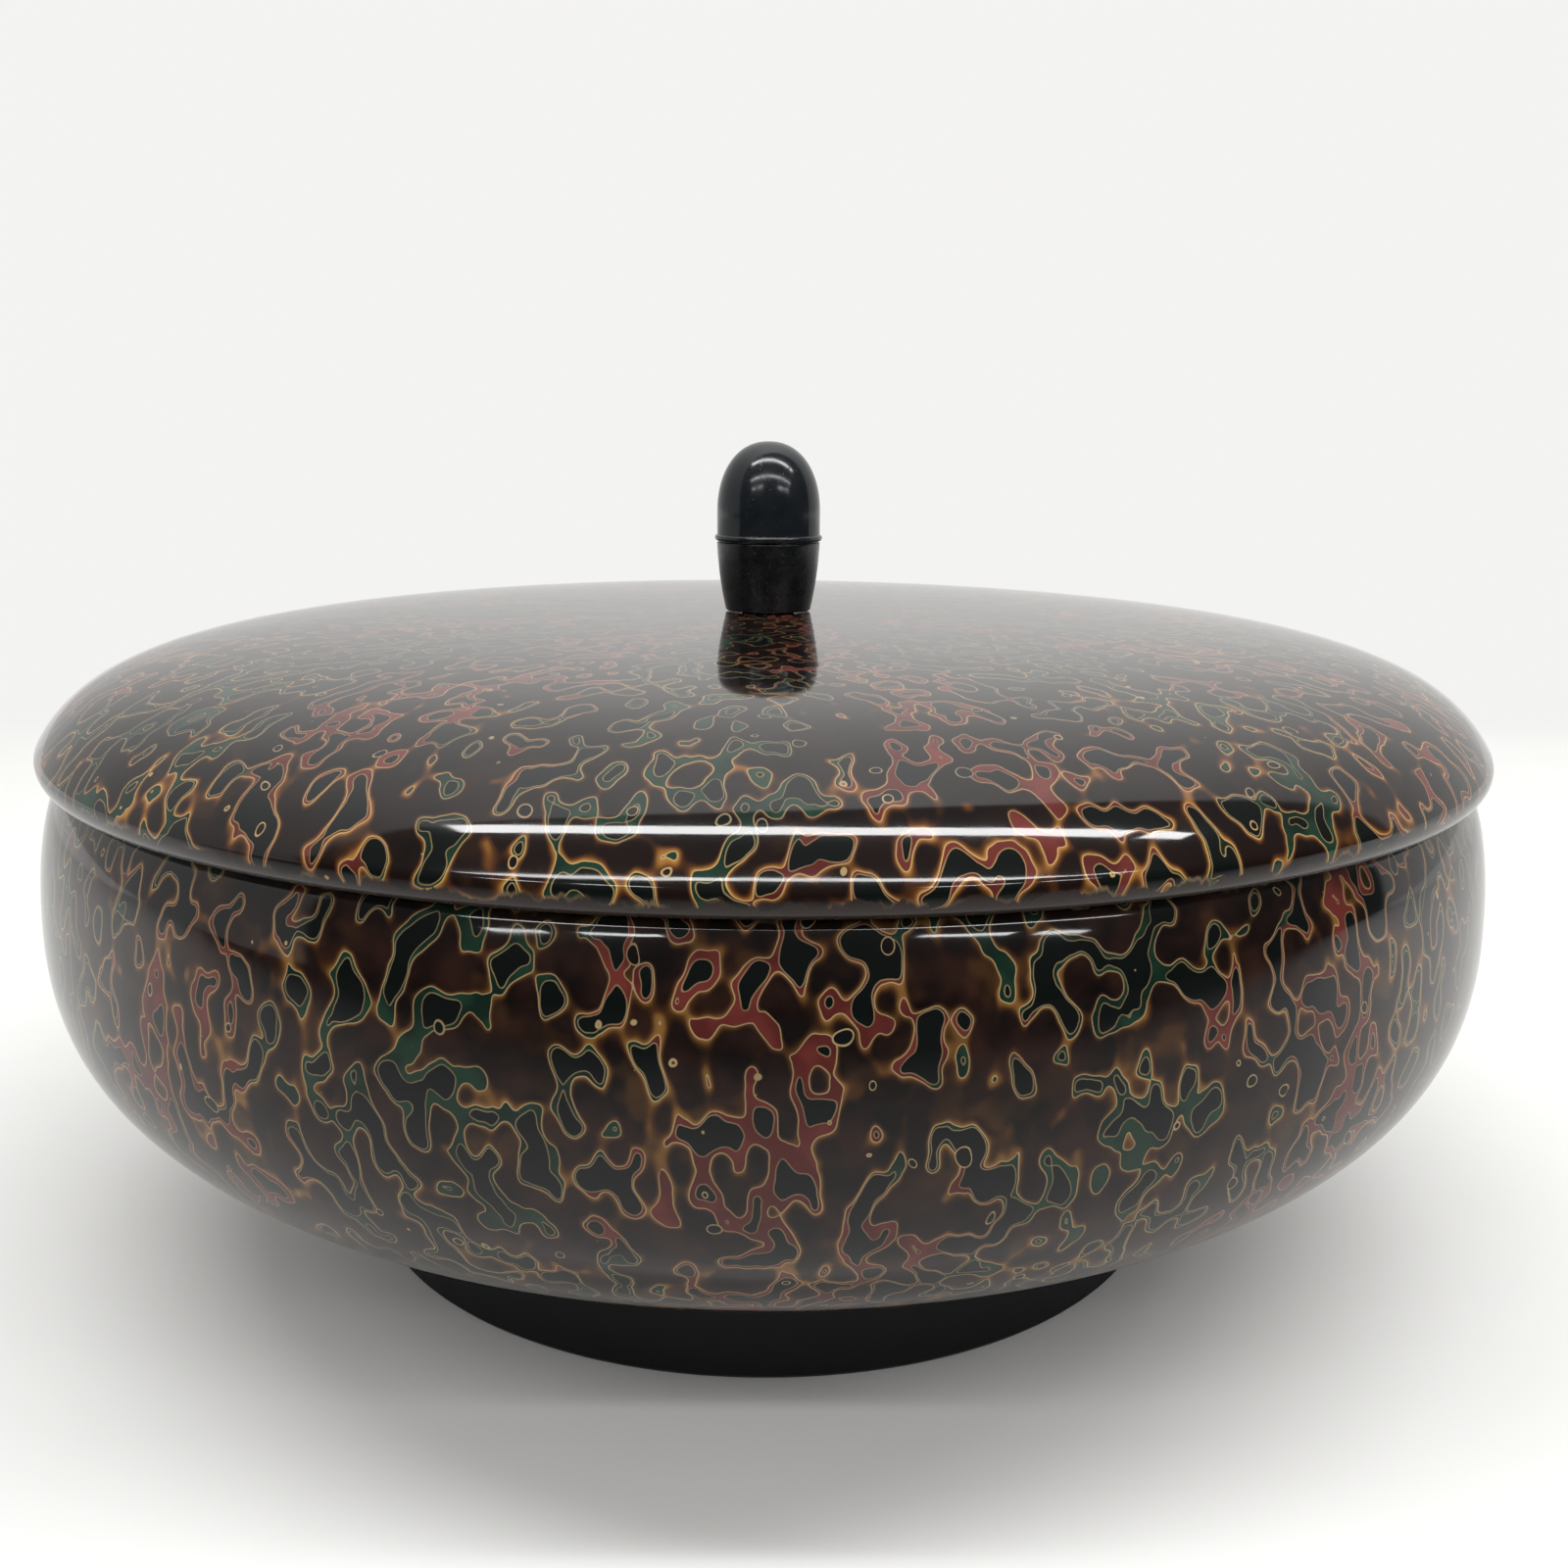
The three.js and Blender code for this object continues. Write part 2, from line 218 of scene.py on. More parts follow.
class Graph:
    """Adds nodes to a tree and links them, so that a finish reads as a formula."""

    def __init__(self, tree: NodeTree) -> None:
        """Works on the given tree."""
        self.tree = tree

    def node(self, kind: str, inputs: dict | None = None, **settings: object) -> Node:
        """Adds a node.

        Args:
            kind: the node's type.
            inputs: values or sockets for its inputs, by name or index.
            settings: its other properties.

        Returns:
            The node.
        """
        made = self.tree.nodes.new(kind)
        for name, value in settings.items():
            setattr(made, name, value)
        for key, value in (inputs or {}).items():
            self.feed(made.inputs[key], value)
        return made

    def out(self, kind: str, inputs: dict | None = None, **settings: object) -> NodeSocket:
        """The first output of an added node."""
        return self.node(kind, inputs, **settings).outputs[0]

    def feed(self, socket: NodeSocket, value: object) -> None:
        """Links a socket to an input, or sets the input's own value.

        Args:
            socket: the input.
            value: a socket, a number, or a colour or vector of three numbers.
        """
        if isinstance(value, NodeSocket):
            self.tree.links.new(value, socket)
        elif socket.type == "RGBA" and len(value) == 3:
            socket.default_value = (*value, 1.0)
        else:
            socket.default_value = value

    def math(self, operation: str, *terms: object) -> NodeSocket:
        """A Math node's result."""
        return self.out("ShaderNodeMath", dict(enumerate(terms)), operation=operation)

    def minus(self, a: object, b: object) -> NodeSocket:
        """The first number less the second."""
        return self.math("SUBTRACT", a, b)

    def times(self, a: object, b: object) -> NodeSocket:
        """The product of two numbers."""
        return self.math("MULTIPLY", a, b)

    def larger(self, a: object, b: object) -> NodeSocket:
        """The larger of two numbers."""
        return self.math("MAXIMUM", a, b)

    def line(self, value: object, slope: object, start: object) -> NodeSocket:
        """A straight line: the value times a slope, plus a start."""
        return self.math("MULTIPLY_ADD", value, slope, start)

    def blend(self, share: object, a: object, b: object) -> NodeSocket:
        """Number a turned into number b by a share."""
        return self.math("ADD", a, self.times(share, self.minus(b, a)))

    def vector(self, operation: str, *terms: object) -> NodeSocket:
        """A Vector Math node's vector."""
        return self.out("ShaderNodeVectorMath", dict(enumerate(terms)), operation=operation)

    def dot(self, a: object, b: object) -> NodeSocket:
        """The dot product of two vectors."""
        return self.node("ShaderNodeVectorMath", {0: a, 1: b}, operation="DOT_PRODUCT").outputs["Value"]

    def scaled(self, vector: object, factor: object) -> NodeSocket:
        """A vector times a number."""
        return self.out("ShaderNodeVectorMath", {0: vector, "Scale": factor}, operation="SCALE")

    def length(self, vector: object) -> NodeSocket:
        """The length of a vector."""
        return self.node("ShaderNodeVectorMath", {0: vector}, operation="LENGTH").outputs["Value"]

    def split(self, vector: object) -> list[NodeSocket]:
        """The three parts of a vector."""
        return list(self.node("ShaderNodeSeparateXYZ", {0: vector}).outputs)

    def joined(self, x: object, y: object, z: object) -> NodeSocket:
        """A vector from its parts."""
        return self.out("ShaderNodeCombineXYZ", {0: x, 1: y, 2: z})

    def from_axis(self, place: object) -> NodeSocket:
        """How far a place lies from the Z axis."""
        x, y, _ = self.split(place)
        return self.length(self.joined(x, y, 0.0))

    def ramp(
        self, value: object, low: object, high: object, at_low: object = 0.0, at_high: object = 1.0
    ) -> NodeSocket:
        """A value eased from one level to another.

        Args:
            value: what drives it.
            low: the value where it starts to change.
            high: the value where it has changed.
            at_low: the level at low.
            at_high: the level at high.

        Returns:
            The level.
        """
        inputs = {0: value, 1: low, 2: high, 3: at_low, 4: at_high}
        return self.out("ShaderNodeMapRange", inputs, interpolation_type="SMOOTHSTEP")

    def mix(self, share: object, a: object, b: object) -> NodeSocket:
        """Colour a turned into colour b by a share."""
        return self.node("ShaderNodeMix", {0: share, 6: a, 7: b}, data_type="RGBA").outputs[2]

    def noise(self, vector: object, scale: float, detail: float = 2.0, roughness: float = 0.5) -> NodeSocket:
        """Soft noise round 0.5.

        Args:
            vector: where it is read.
            scale: lumps per unit.
            detail: finer layers on it.
            roughness: weight of the finer layers.

        Returns:
            The noise.
        """
        inputs = {"Vector": vector, "Scale": scale, "Detail": detail, "Roughness": roughness}
        return self.out("ShaderNodeTexNoise", inputs)


class Paint(Graph):
    """The node tree of a new material with one surface shader."""

    def __init__(self, name: str) -> None:
        """Makes the material.

        Args:
            name: its name.
        """
        self.material = bpy.data.materials.new(name)
        self.material.use_nodes = True
        super().__init__(self.material.node_tree)
        self.tree.nodes.clear()
        self.shader = self.node("ShaderNodeBsdfPrincipled")
        self.output = self.node("ShaderNodeOutputMaterial", {"Surface": self.shader.outputs[0]})
        self.spot = self.node("ShaderNodeTexCoord").outputs["Object"]

    @cached_property
    def place(self) -> NodeSocket:
        """The spot on the piece in millimetres."""
        return self.scaled(self.spot, 1 / MM)

    def shade(self, inputs: dict[str, object]) -> None:
        """Feeds the shader's inputs, by name."""
        for name, value in inputs.items():
            self.feed(self.shader.inputs[name], value)

    def grooves(self, per_mm: float, stir: object = 0.0) -> NodeSocket:
        """Coordinates that change only along a turned outline, so that noise on them makes turning marks.

        Args:
            per_mm: grooves per millimetre.
            stir: what breaks the grooves up.

        Returns:
            The coordinates.
        """
        _, _, z = self.split(self.place)
        return self.joined(self.times(self.from_axis(self.place), per_mm), self.times(z, per_mm), stir)

    def emboss(self, height: NodeSocket, strength: float, depth: float) -> None:
        """Lets a height show as bumps.

        Args:
            height: the height.
            strength: share of the bumps that shows.
            depth: millimetres between the heights 0 and 1.
        """
        inputs = {"Strength": strength, "Distance": depth * MM, "Height": height}
        self.shade({"Normal": self.out("ShaderNodeBump", inputs)})


# Finishes


@dataclass(frozen=True)
class Clouds:
    """Soft noise that varies a finish from place to place."""

    scale: float  # clouds per mm
    start: Triple = (0, 0, 0)  # which part of the endless noise is read
    detail: float = 1.0  # finer layers on it
    roughness: float = 0.5  # weight of the finer layers
    upright: float = 1.0  # under 1, clouds are drawn out upwards
    span: Span = (0.0, 1.0)  # values of the noise between which a level changes

    def at(self, paint: Paint) -> NodeSocket:
        """The noise itself."""
        place = paint.vector("MULTIPLY_ADD", paint.place, (1.0, 1.0, self.upright), self.start)
        return paint.noise(place, self.scale, self.detail, self.roughness)

    def level(self, paint: Paint, least: float = 0.0, most: float = 1.0) -> NodeSocket:
        """A level that follows the noise."""
        return paint.ramp(self.at(paint), *self.span, least, most)


@dataclass(frozen=True)
class MottledLacquer:
    """Layers of coloured lacquer over raised lumps, polished flat, so that lumps show as nested outlines.

    The lumps are a height field. Where it passes the first level, gold shows as a thin line with an amber
    glow outside it. Between the first and the second level lies a band of crimson or green, and above it a
    black island.
    """

    name: str
    cell: Triple  # size of a lump along X, Y and Z
    shift: Triple  # which part of the endless field this piece shows
    patches: int  # crimson patches round the piece
    patch_turn: float  # degrees: where the first crimson patch lies

    # Lumps and their first level
    fan: float = 1.0  # under 1, lumps are drawn out along the radius
    fan_radius: float = 100.0  # where the fan leaves lumps their size across
    fan_start: float = 0.01  # share of that radius within which the fan stays the same
    lump_detail: float = 0.4  # finer layers on the lumps
    lump_weight: float = 0.4  # and their weight
    probe: float = 0.05  # step for the slope of the field
    least_slope: float = 0.02  # keeps outlines thin where the field is level
    level: float = 0.556
    level_clouds: Clouds = Clouds(1 / 14, (50, 20, 70))
    sway: float = 0.08  # how much the level varies from place to place

    # Patches and bands of crimson and green
    daub_clouds: Clouds = Clouds(1 / 16, (31, 7, 13))
    daub_sway: float = 3.2  # how far patches stray from an even spread
    daub_pull: float = 0.6  # how strongly they keep to it
    daub_edge: float = 0.06  # softness of the change from crimson to green
    band_clouds: Clouds = Clouds(1 / 5, (9, 40, 5))
    band_sway: float = 2.4  # how much the width of a band varies
    band_span: Span = (0.2, 1.0)
    least_band: float = 0.04  # rise of the field over the narrowest bands
    band: float = 0.13  # and over the widest
    band_outwards: float = 0.45  # share of a band that lies outside the level

    # Outlines
    line: float = 0.03  # half width of the gold line
    fade: float = 0.062  # width over which an outline fades
    inner_line: float = 0.6  # strength of the line round an island
    faint_middle: Span = (30.0, 80.0)  # radii over which the outlines gain strength
    faintest: float = 0.35

    # Warmth, which is the strength of the amber
    warm_clouds: Clouds = Clouds(1 / 11, (5, 19, 3), 2.0, span=(0.36, 0.62))
    warmth: Span = (0.25, 0.9)
    seam: float = 75.7  # height of the joint between bowl and lid
    warm_reach: float = 22.0  # how far from the seam it acts
    warm_core: float = 0.15  # share of that reach with the full effect
    seam_warmth: float = 0.05  # warmth added there: painted light above zero, painted shade below it
    far_warmth: float = -0.05  # and past the reach
    lit_front_span: Span = (0.3, 0.85)  # cosines of the turn over which both grow towards the camera, as painted light
    shaded_back_share: float = 0.1  # how much of both is left on the side away from the camera

    # Ground and glow
    tone_clouds: Clouds = Clouds(1 / 5, (2, 3, 17), 2.0, span=(0.38, 0.62))
    ground_span: Span = (0.3, 0.75)
    seam_redness: float = 0.25  # how much the seam's warmth, painted light and shade, shows in the ground
    ochre_clouds: Clouds = Clouds(1 / 7, (60, 11, 45), 2.0, span=(0.57, 0.7))
    ochre_share: float = 0.65
    glow_reach: float = 0.12  # fall of the field over the widest glow
    least_glow: float = 0.045  # and over the narrowest
    ember_fall: float = 1.4  # how fast the glow's ember fades
    ember_warmth: float = 0.6  # share of the ember that follows the warmth
    amber_fall: float = 6.5  # how fast its amber fades
    glow_clouds: Clouds = Clouds(1 / 4, (17, 28, 51), 2.0, span=(0.38, 0.64))
    glow_spread: Span = (0.55, 1.6)  # how softly the amber fades, from place to place

    # Small rings
    ring_tall: float = 1.25  # height of a ring for its width
    ring_bends: float = 0.3  # bends per mm that pull rings out of round
    ring_bend: float = 1.6  # how far they pull
    ring_pitch: float = 4.0
    ring_clear: Span = (0.04, 0.09)  # how far the field has to be from the level
    ring_picks: Span = (0.3, 1.0)
    ring_size: float = 0.9  # radius of the largest
    ring_dark: Span = (0.5, 0.6)

    # Worn edge and polish
    bare_edge: Span = (1.1, 2.5)  # how far from the seam the pattern is rubbed off
    ragged: Clouds = Clouds(0.28, detail=4.0, roughness=0.6, upright=0.2, span=(0.32, 0.68))
    ragged_soft: float = 0.12
    fringe: Span = (0.04, 0.4)  # distances over which the rubbed fringe fades
    fringe_share: float = 0.8
    fringe_clouds: Clouds = Clouds(0.16, detail=3.0, span=(0.5, 0.68))
    haze: Clouds = Clouds(0.22, detail=3.0, roughness=0.6, span=(0.3, 0.75))
    roughness: Span = (0.045, 0.085)
    ior: float = 1.5
    coat: float = 0.06
    coat_roughness: float = 0.22
    swell: Clouds = Clouds(0.16)
    swell_strength: float = 0.02
    swell_depth: float = 1.2

    # Colours
    ground_dark: Triple = (0.0052, 0.0031, 0.003)
    ground_warm: Triple = (0.016, 0.0062, 0.0044)
    ochre: Triple = (0.095, 0.042, 0.0125)
    ember: Triple = (0.085, 0.032, 0.0095)
    amber: Triple = (0.4, 0.19, 0.04)
    gold: Triple = (0.52, 0.34, 0.13)
    gold_pale: Triple = (0.19, 0.145, 0.08)
    crimson: Triple = (0.135, 0.026, 0.021)
    crimson_dark: Triple = (0.082, 0.015, 0.0125)
    green: Triple = (0.01, 0.035, 0.02)
    green_dark: Triple = (0.005, 0.016, 0.01)
    island: Triple = (0.003, 0.0048, 0.0042)
    bare: Triple = (0.026, 0.016, 0.013)
    rubbed: Triple = (0.2, 0.13, 0.06)

    def lumps(self) -> NodeTree:
        """The height field as a node group that reads a place in millimetres.

        Returns:
            The group.
        """
        tree = bpy.data.node_groups.new(f"{self.name}_lumps", "ShaderNodeTree")
        tree.interface.new_socket("Place", in_out="INPUT", socket_type="NodeSocketVector")
        tree.interface.new_socket("Height", in_out="OUTPUT", socket_type="NodeSocketFloat")
        graph = Graph(tree)
        place = graph.out("NodeGroupInput")
        if self.fan < 1:
            across = graph.math("DIVIDE", graph.from_axis(place), self.fan_radius)
            spread = graph.math("POWER", graph.larger(across, self.fan_start), self.fan - 1)
            place = graph.vector("MULTIPLY", place, graph.joined(spread, spread, 1.0))
        cells = graph.vector("MULTIPLY_ADD", place, tuple(1 / c for c in self.cell), self.shift)
        graph.node("NodeGroupOutput", {0: graph.noise(cells, 1.0, self.lump_detail, self.lump_weight)})
        return tree

    def height(self, paint: Paint, group: NodeTree, place: NodeSocket) -> NodeSocket:
        """The height field at a place."""
        return paint.out("ShaderNodeGroup", {"Place": place}, node_tree=group)

    def steepness(self, paint: Paint, group: NodeTree, height: NodeSocket) -> NodeSocket:
        """The slope of the height field along the surface.

        Args:
            paint: the material's tree.
            group: the height field.
            height: the field at the place.

        Returns:
            The rise per millimetre.
        """
        steps = ((self.probe, 0, 0), (0, self.probe, 0), (0, 0, self.probe))
        beside = [self.height(paint, group, paint.vector("ADD", paint.place, step)) for step in steps]
        slope = paint.scaled(paint.joined(*(paint.minus(there, height) for there in beside)), 1 / self.probe)
        normal = paint.node("ShaderNodeTexCoord").outputs["Normal"]
        slope = paint.vector("SUBTRACT", slope, paint.scaled(normal, paint.dot(slope, normal)))
        return paint.larger(paint.length(slope), self.least_slope)

    @cache
    def material(self) -> Material:
        """Builds the material once.

        Returns:
            The material.
        """
        paint = Paint(self.name)
        x, y, z = paint.split(paint.place)
        turn = paint.math("ARCTAN2", x, paint.times(y, -1.0))
        group = self.lumps()
        height = self.height(paint, group, paint.place)
        steepness = self.steepness(paint, group, height)
        level = paint.line(self.level_clouds.at(paint), self.sway, self.level - self.sway / 2)

        # Patches where crimson or green was daubed on
        wave = paint.line(turn, float(self.patches), math.radians(-self.patch_turn) * self.patches)
        stray = paint.line(self.daub_clouds.at(paint), self.daub_sway, -self.daub_sway / 2)
        daub = paint.line(paint.math("COSINE", wave), self.daub_pull, stray)

        # Distances from the two outlines, with a wide band between them in the middle of a patch
        loose = paint.line(self.band_clouds.at(paint), self.band_sway, -self.band_sway / 2)
        width = paint.math("ADD", paint.math("ABSOLUTE", daub), loose)
        gap = paint.ramp(width, *self.band_span, self.least_band, self.band)
        rise = paint.line(gap, self.band_outwards, paint.minus(height, level))
        outer = paint.math("DIVIDE", rise, steepness)
        inner = paint.math("DIVIDE", paint.minus(rise, gap), steepness)
        strength = paint.ramp(paint.from_axis(paint.place), *self.faint_middle, self.faintest, 1.0)

        # Warmth from place to place, and what the seam adds to it. What the seam adds is painted light and
        # shade, strongest on the side towards the camera.
        from_seam = paint.math("ABSOLUTE", paint.minus(z, self.seam))
        core = self.warm_core * self.warm_reach
        near_seam = paint.ramp(from_seam, core, self.warm_reach, self.seam_warmth, self.far_warmth)
        lit_front = paint.ramp(paint.math("COSINE", turn), *self.lit_front_span, self.shaded_back_share, 1.0)
        near_seam = paint.times(near_seam, lit_front)
        warmth = paint.math("ADD", self.warm_clouds.level(paint, *self.warmth), near_seam)
        warmth = paint.larger(warmth, 0.0)

        # Colours, from the ground up
        tone = self.tone_clouds.at(paint)
        # The seam's painted light and shade also reach the ground's redness.
        redness = paint.line(near_seam, self.seam_redness, tone)
        colour = self.ground(paint, redness, warmth, rise, strength)
        shade = paint.ramp(tone, *self.tone_clouds.span)
        crimson = paint.mix(shade, self.crimson_dark, self.crimson)
        green = paint.mix(shade, self.green_dark, self.green)
        band = paint.mix(paint.ramp(daub, -self.daub_edge, self.daub_edge), green, crimson)
        colour = paint.mix(paint.ramp(outer, -self.fade / 2, self.fade / 2), colour, band)
        colour = paint.mix(paint.ramp(inner, -self.fade / 2, self.fade / 2), colour, self.island)
        gold = paint.mix(warmth, self.gold_pale, self.gold)
        for distance, share in ((inner, self.inner_line), (outer, 1.0)):
            drawn = paint.times(self.outline_at(paint, distance), strength)
            colour = paint.mix(paint.times(drawn, share), colour, gold)
        colour = self.rings(paint, group, colour, gold)
        paint.shade({"Base Color": self.worn_edge(paint, from_seam, colour)})
        self.polish(paint)
        return paint.material

    def ground(
        self, paint: Paint, redness: NodeSocket, warmth: NodeSocket, rise: NodeSocket, strength: NodeSocket
    ) -> NodeSocket:
        """The brown between the lumps, with ochre clouds and the glow towards the lumps.

        Args:
            paint: the material's tree.
            redness: tone of the brown.
            warmth: strength of the amber.
            rise: height over the first level.
            strength: strength of the outlines.

        Returns:
            The colour.
        """
        colour = paint.mix(paint.ramp(redness, *self.ground_span), self.ground_dark, self.ground_warm)
        clouds = self.ochre_clouds.level(paint, 0.0, self.ochre_share)
        colour = paint.mix(paint.times(clouds, warmth), colour, self.ochre)
        glow = paint.ramp(rise, paint.line(warmth, -self.glow_reach, -self.least_glow), 0.0)
        ember = paint.line(warmth, self.ember_warmth, 1 - self.ember_warmth)
        ember = paint.times(paint.math("POWER", glow, self.ember_fall), ember)
        colour = paint.mix(ember, colour, self.ember)
        fall = paint.math("DIVIDE", self.amber_fall, self.glow_clouds.level(paint, *self.glow_spread))
        amber = paint.times(paint.math("POWER", glow, fall), paint.times(warmth, strength))
        return paint.mix(amber, colour, self.amber)

    def outline_at(self, paint: Paint, distance: NodeSocket) -> NodeSocket:
        """How much of the gold line shows at a distance from an outline."""
        return paint.ramp(paint.math("ABSOLUTE", distance), self.line, self.line + self.fade, 1.0, 0.0)

    def rings(self, paint: Paint, group: NodeTree, colour: NodeSocket, gold: NodeSocket) -> NodeSocket:
        """Small gold rings with dark middles, where the tips of fine lumps are polished through.

        Args:
            paint: the material's tree.
            group: the height field.
            colour: the colour so far.
            gold: the gold there.

        Returns:
            The colour with the rings on it.
        """
        inputs = {"Vector": paint.place, "Scale": self.ring_bends, "Detail": 0.0}
        bend = paint.node("ShaderNodeTexNoise", inputs).outputs["Color"]
        middle = paint.vector("ADD", paint.place, (-self.ring_bend / 2,) * 3)
        bent = paint.vector("MULTIPLY_ADD", bend, (self.ring_bend,) * 3, middle)
        squat = paint.vector("MULTIPLY", bent, (1.0, 1.0, 1 / self.ring_tall))
        drops = paint.node("ShaderNodeTexVoronoi", {"Vector": squat, "Scale": 1 / self.ring_pitch}).outputs
        pick, _, depth = paint.split(drops["Color"])
        centre = paint.vector("MULTIPLY", drops["Position"], (1.0, 1.0, self.ring_tall))
        rise = paint.minus(self.height(paint, group, centre), self.level)
        clear = paint.ramp(paint.math("ABSOLUTE", rise), *self.ring_clear)
        size = paint.times(paint.ramp(pick, *self.ring_picks, 0.0, self.ring_size), clear)
        past = paint.minus(paint.times(drops["Distance"], self.ring_pitch), size)
        core = paint.mix(paint.ramp(depth, *self.ring_dark), self.ground_dark, self.island)
        colour = paint.mix(paint.ramp(past, -self.fade, 0.0, 1.0, 0.0), colour, core)
        return paint.mix(self.outline_at(paint, past), colour, gold)

    def worn_edge(self, paint: Paint, from_seam: NodeSocket, colour: NodeSocket) -> NodeSocket:
        """The edge beside the seam, where the pattern is rubbed off with a ragged fringe.

        Args:
            paint: the material's tree.
            from_seam: how far the place lies from the seam.
            colour: the colour so far.

        Returns:
            The colour with the worn edge on it.
        """
        past = paint.minus(from_seam, self.ragged.level(paint, *self.bare_edge))
        rubbed_off = paint.ramp(past, -self.ragged_soft, self.ragged_soft, 1.0, 0.0)
        colour = paint.mix(rubbed_off, colour, self.bare)
        fringe = paint.ramp(paint.math("ABSOLUTE", past), *self.fringe, self.fringe_share, 0.0)
        return paint.mix(paint.times(fringe, self.fringe_clouds.level(paint)), colour, self.rubbed)

    def polish(self, paint: Paint) -> None:
        """The polished surface: almost a mirror, with faint hazy spots and a slight swell.

        Args:
            paint: the material's tree.
        """
        rough = self.haze.level(paint, *self.roughness)
        paint.shade({"Roughness": rough, "IOR": self.ior})
        paint.shade({"Coat Weight": self.coat, "Coat Roughness": self.coat_roughness})
        paint.emboss(self.swell.at(paint), self.swell_strength, self.swell_depth)


@dataclass(frozen=True)
class PlainBlack:
    """Black lacquer or black plastic with cloudy gloss, turning marks and a little dust."""

    name: str
    dark: Triple
    light: Triple
    gloss: Span  # roughness, from the shiniest to the dullest spots
    cloud: float  # clouds per mm
    marks: float  # depth of the turning marks
    dust: float = 0.0  # how strongly dust or scuffs show
    ior: float = 1.5
    colour_span: Span = (0.3, 0.7)
    gloss_span: Span = (0.32, 0.7)
    specks: Clouds = Clouds(2.6, detail=3.0, roughness=0.7, span=(0.58, 0.72))
    dusty: Clouds = Clouds(0.35, detail=2.0, span=(0.42, 0.6))
    dust_colour: Triple = (0.16, 0.16, 0.15)
    dust_roughness: float = 0.25
    marks_per_mm: float = 3.0
    marks_strength: float = 0.25

    @cache
    def material(self) -> Material:
        """Builds the material once.

        Returns:
            The material.
        """
        paint = Paint(self.name)
        clouds = Clouds(self.cloud, detail=4.0, roughness=0.6).at(paint)
        colour = paint.mix(paint.ramp(clouds, *self.colour_span), self.dark, self.light)
        rough = paint.ramp(clouds, *self.gloss_span, *self.gloss)
        if self.dust:
            cover = paint.times(self.specks.level(paint), self.dusty.level(paint))
            colour = paint.mix(paint.times(cover, self.dust), colour, self.dust_colour)
            rough = paint.line(cover, self.dust_roughness, rough)
        paint.shade({"Base Color": colour, "Roughness": rough, "IOR": self.ior})
        marks = paint.noise(paint.grooves(self.marks_per_mm, clouds), 1.0)
        paint.emboss(marks, self.marks_strength, self.marks)
        return paint.material


@dataclass(frozen=True)
class TurnedMetal:
    """Metal with turning marks round its axis and slight tarnish."""

    name: str
    bright: Triple
    tarnish: Triple
    gloss: Span  # roughness
    gloss_span: Span = (0.3, 0.7)
    stain: Clouds = Clouds(0.7, detail=4.0, roughness=0.6, span=(0.42, 0.75))
    marks_per_mm: float = 9.0
    marks_strength: float = 0.3
    marks_depth: float = 0.02

    @cache
    def material(self) -> Material:
        """Builds the material once.

        Returns:
            The material.
        """
        paint = Paint(self.name)
        marks = paint.noise(paint.grooves(self.marks_per_mm), 1.0, detail=3.0, roughness=0.6)
        colour = paint.mix(self.stain.level(paint), self.bright, self.tarnish)
        rough = paint.ramp(marks, *self.gloss_span, *self.gloss)
        paint.shade({"Base Color": colour, "Roughness": rough, "Metallic": 1.0})
        paint.emboss(marks, self.marks_strength, self.marks_depth)
        return paint.material


# The bowl's gold and amber are set darker than the lid's: painted shade, for the lesser light on the bowl's
# wall.
BOWL_SKIN = MottledLacquer(
    "bowl_skin",
    cell=(2.95, 2.95, 4.4),
    shift=(3.1, 1.7, 0.4),
    patches=10,
    patch_turn=0.0,
    bare_edge=(0.0, 0.7),
    seam_warmth=-0.2,
    ground_warm=(0.027, 0.0105, 0.007),
    amber=(0.27, 0.135, 0.035),
    gold=(0.41, 0.295, 0.145),
    gold_pale=(0.27, 0.19, 0.1),
)
LID_SKIN = MottledLacquer(
    "lid_skin",
    cell=(3.1, 3.1, 4.3),
    shift=(7.9, 2.2, 5.3),
    patches=9,
    patch_turn=13.0,
    fan=0.76,
    warm_reach=13.0,
    seam_warmth=0.65,
    warmth=(0.0, 0.45),
    level=0.574,
    glow_reach=0.1,
    glow_spread=(0.6, 1.25),
    ochre_share=0.3,
    ground_dark=(0.0045, 0.0028, 0.0026),
    ground_warm=(0.01, 0.0045, 0.0034),
    ember=(0.14, 0.045, 0.011),
    gold_pale=(0.2, 0.155, 0.1),
)
LINING = PlainBlack(
    "black_lining", (0.004, 0.0035, 0.0035), (0.008, 0.006, 0.005), (0.07, 0.13), cloud=0.08, marks=0.01
)
SATIN = PlainBlack(
    "black_satin", (0.004, 0.0045, 0.0056), (0.0062, 0.0069, 0.0083), (0.42, 0.55), 0.3, marks=0.05, ior=1.36
)
CAP = PlainBlack(
    "gloss_cap", (0.0075, 0.0098, 0.012), (0.0105, 0.0132, 0.016), (0.12, 0.17), 0.4, marks=0.004, dust=0.15
)
STEM = PlainBlack(
    "gloss_stem", (0.0035, 0.0045, 0.0056), (0.0075, 0.009, 0.0108), (0.2, 0.34), 0.6, marks=0.02, dust=0.2
)
BRASS = TurnedMetal("turned_brass", (0.72, 0.5, 0.2), (0.42, 0.27, 0.1), gloss=(0.22, 0.4))
STEEL = TurnedMetal("plated_steel", (0.62, 0.63, 0.64), (0.4, 0.41, 0.43), gloss=(0.18, 0.34))


# Turning


def added(name: str, data: bpy.types.ID) -> Object:
    """A new object in the scene.

    Args:
        name: its name.
        data: its mesh, lamp or camera.

    Returns:
        The object.
    """
    made = bpy.data.objects.new(name, data)
    bpy.context.scene.collection.objects.link(made)
    return made


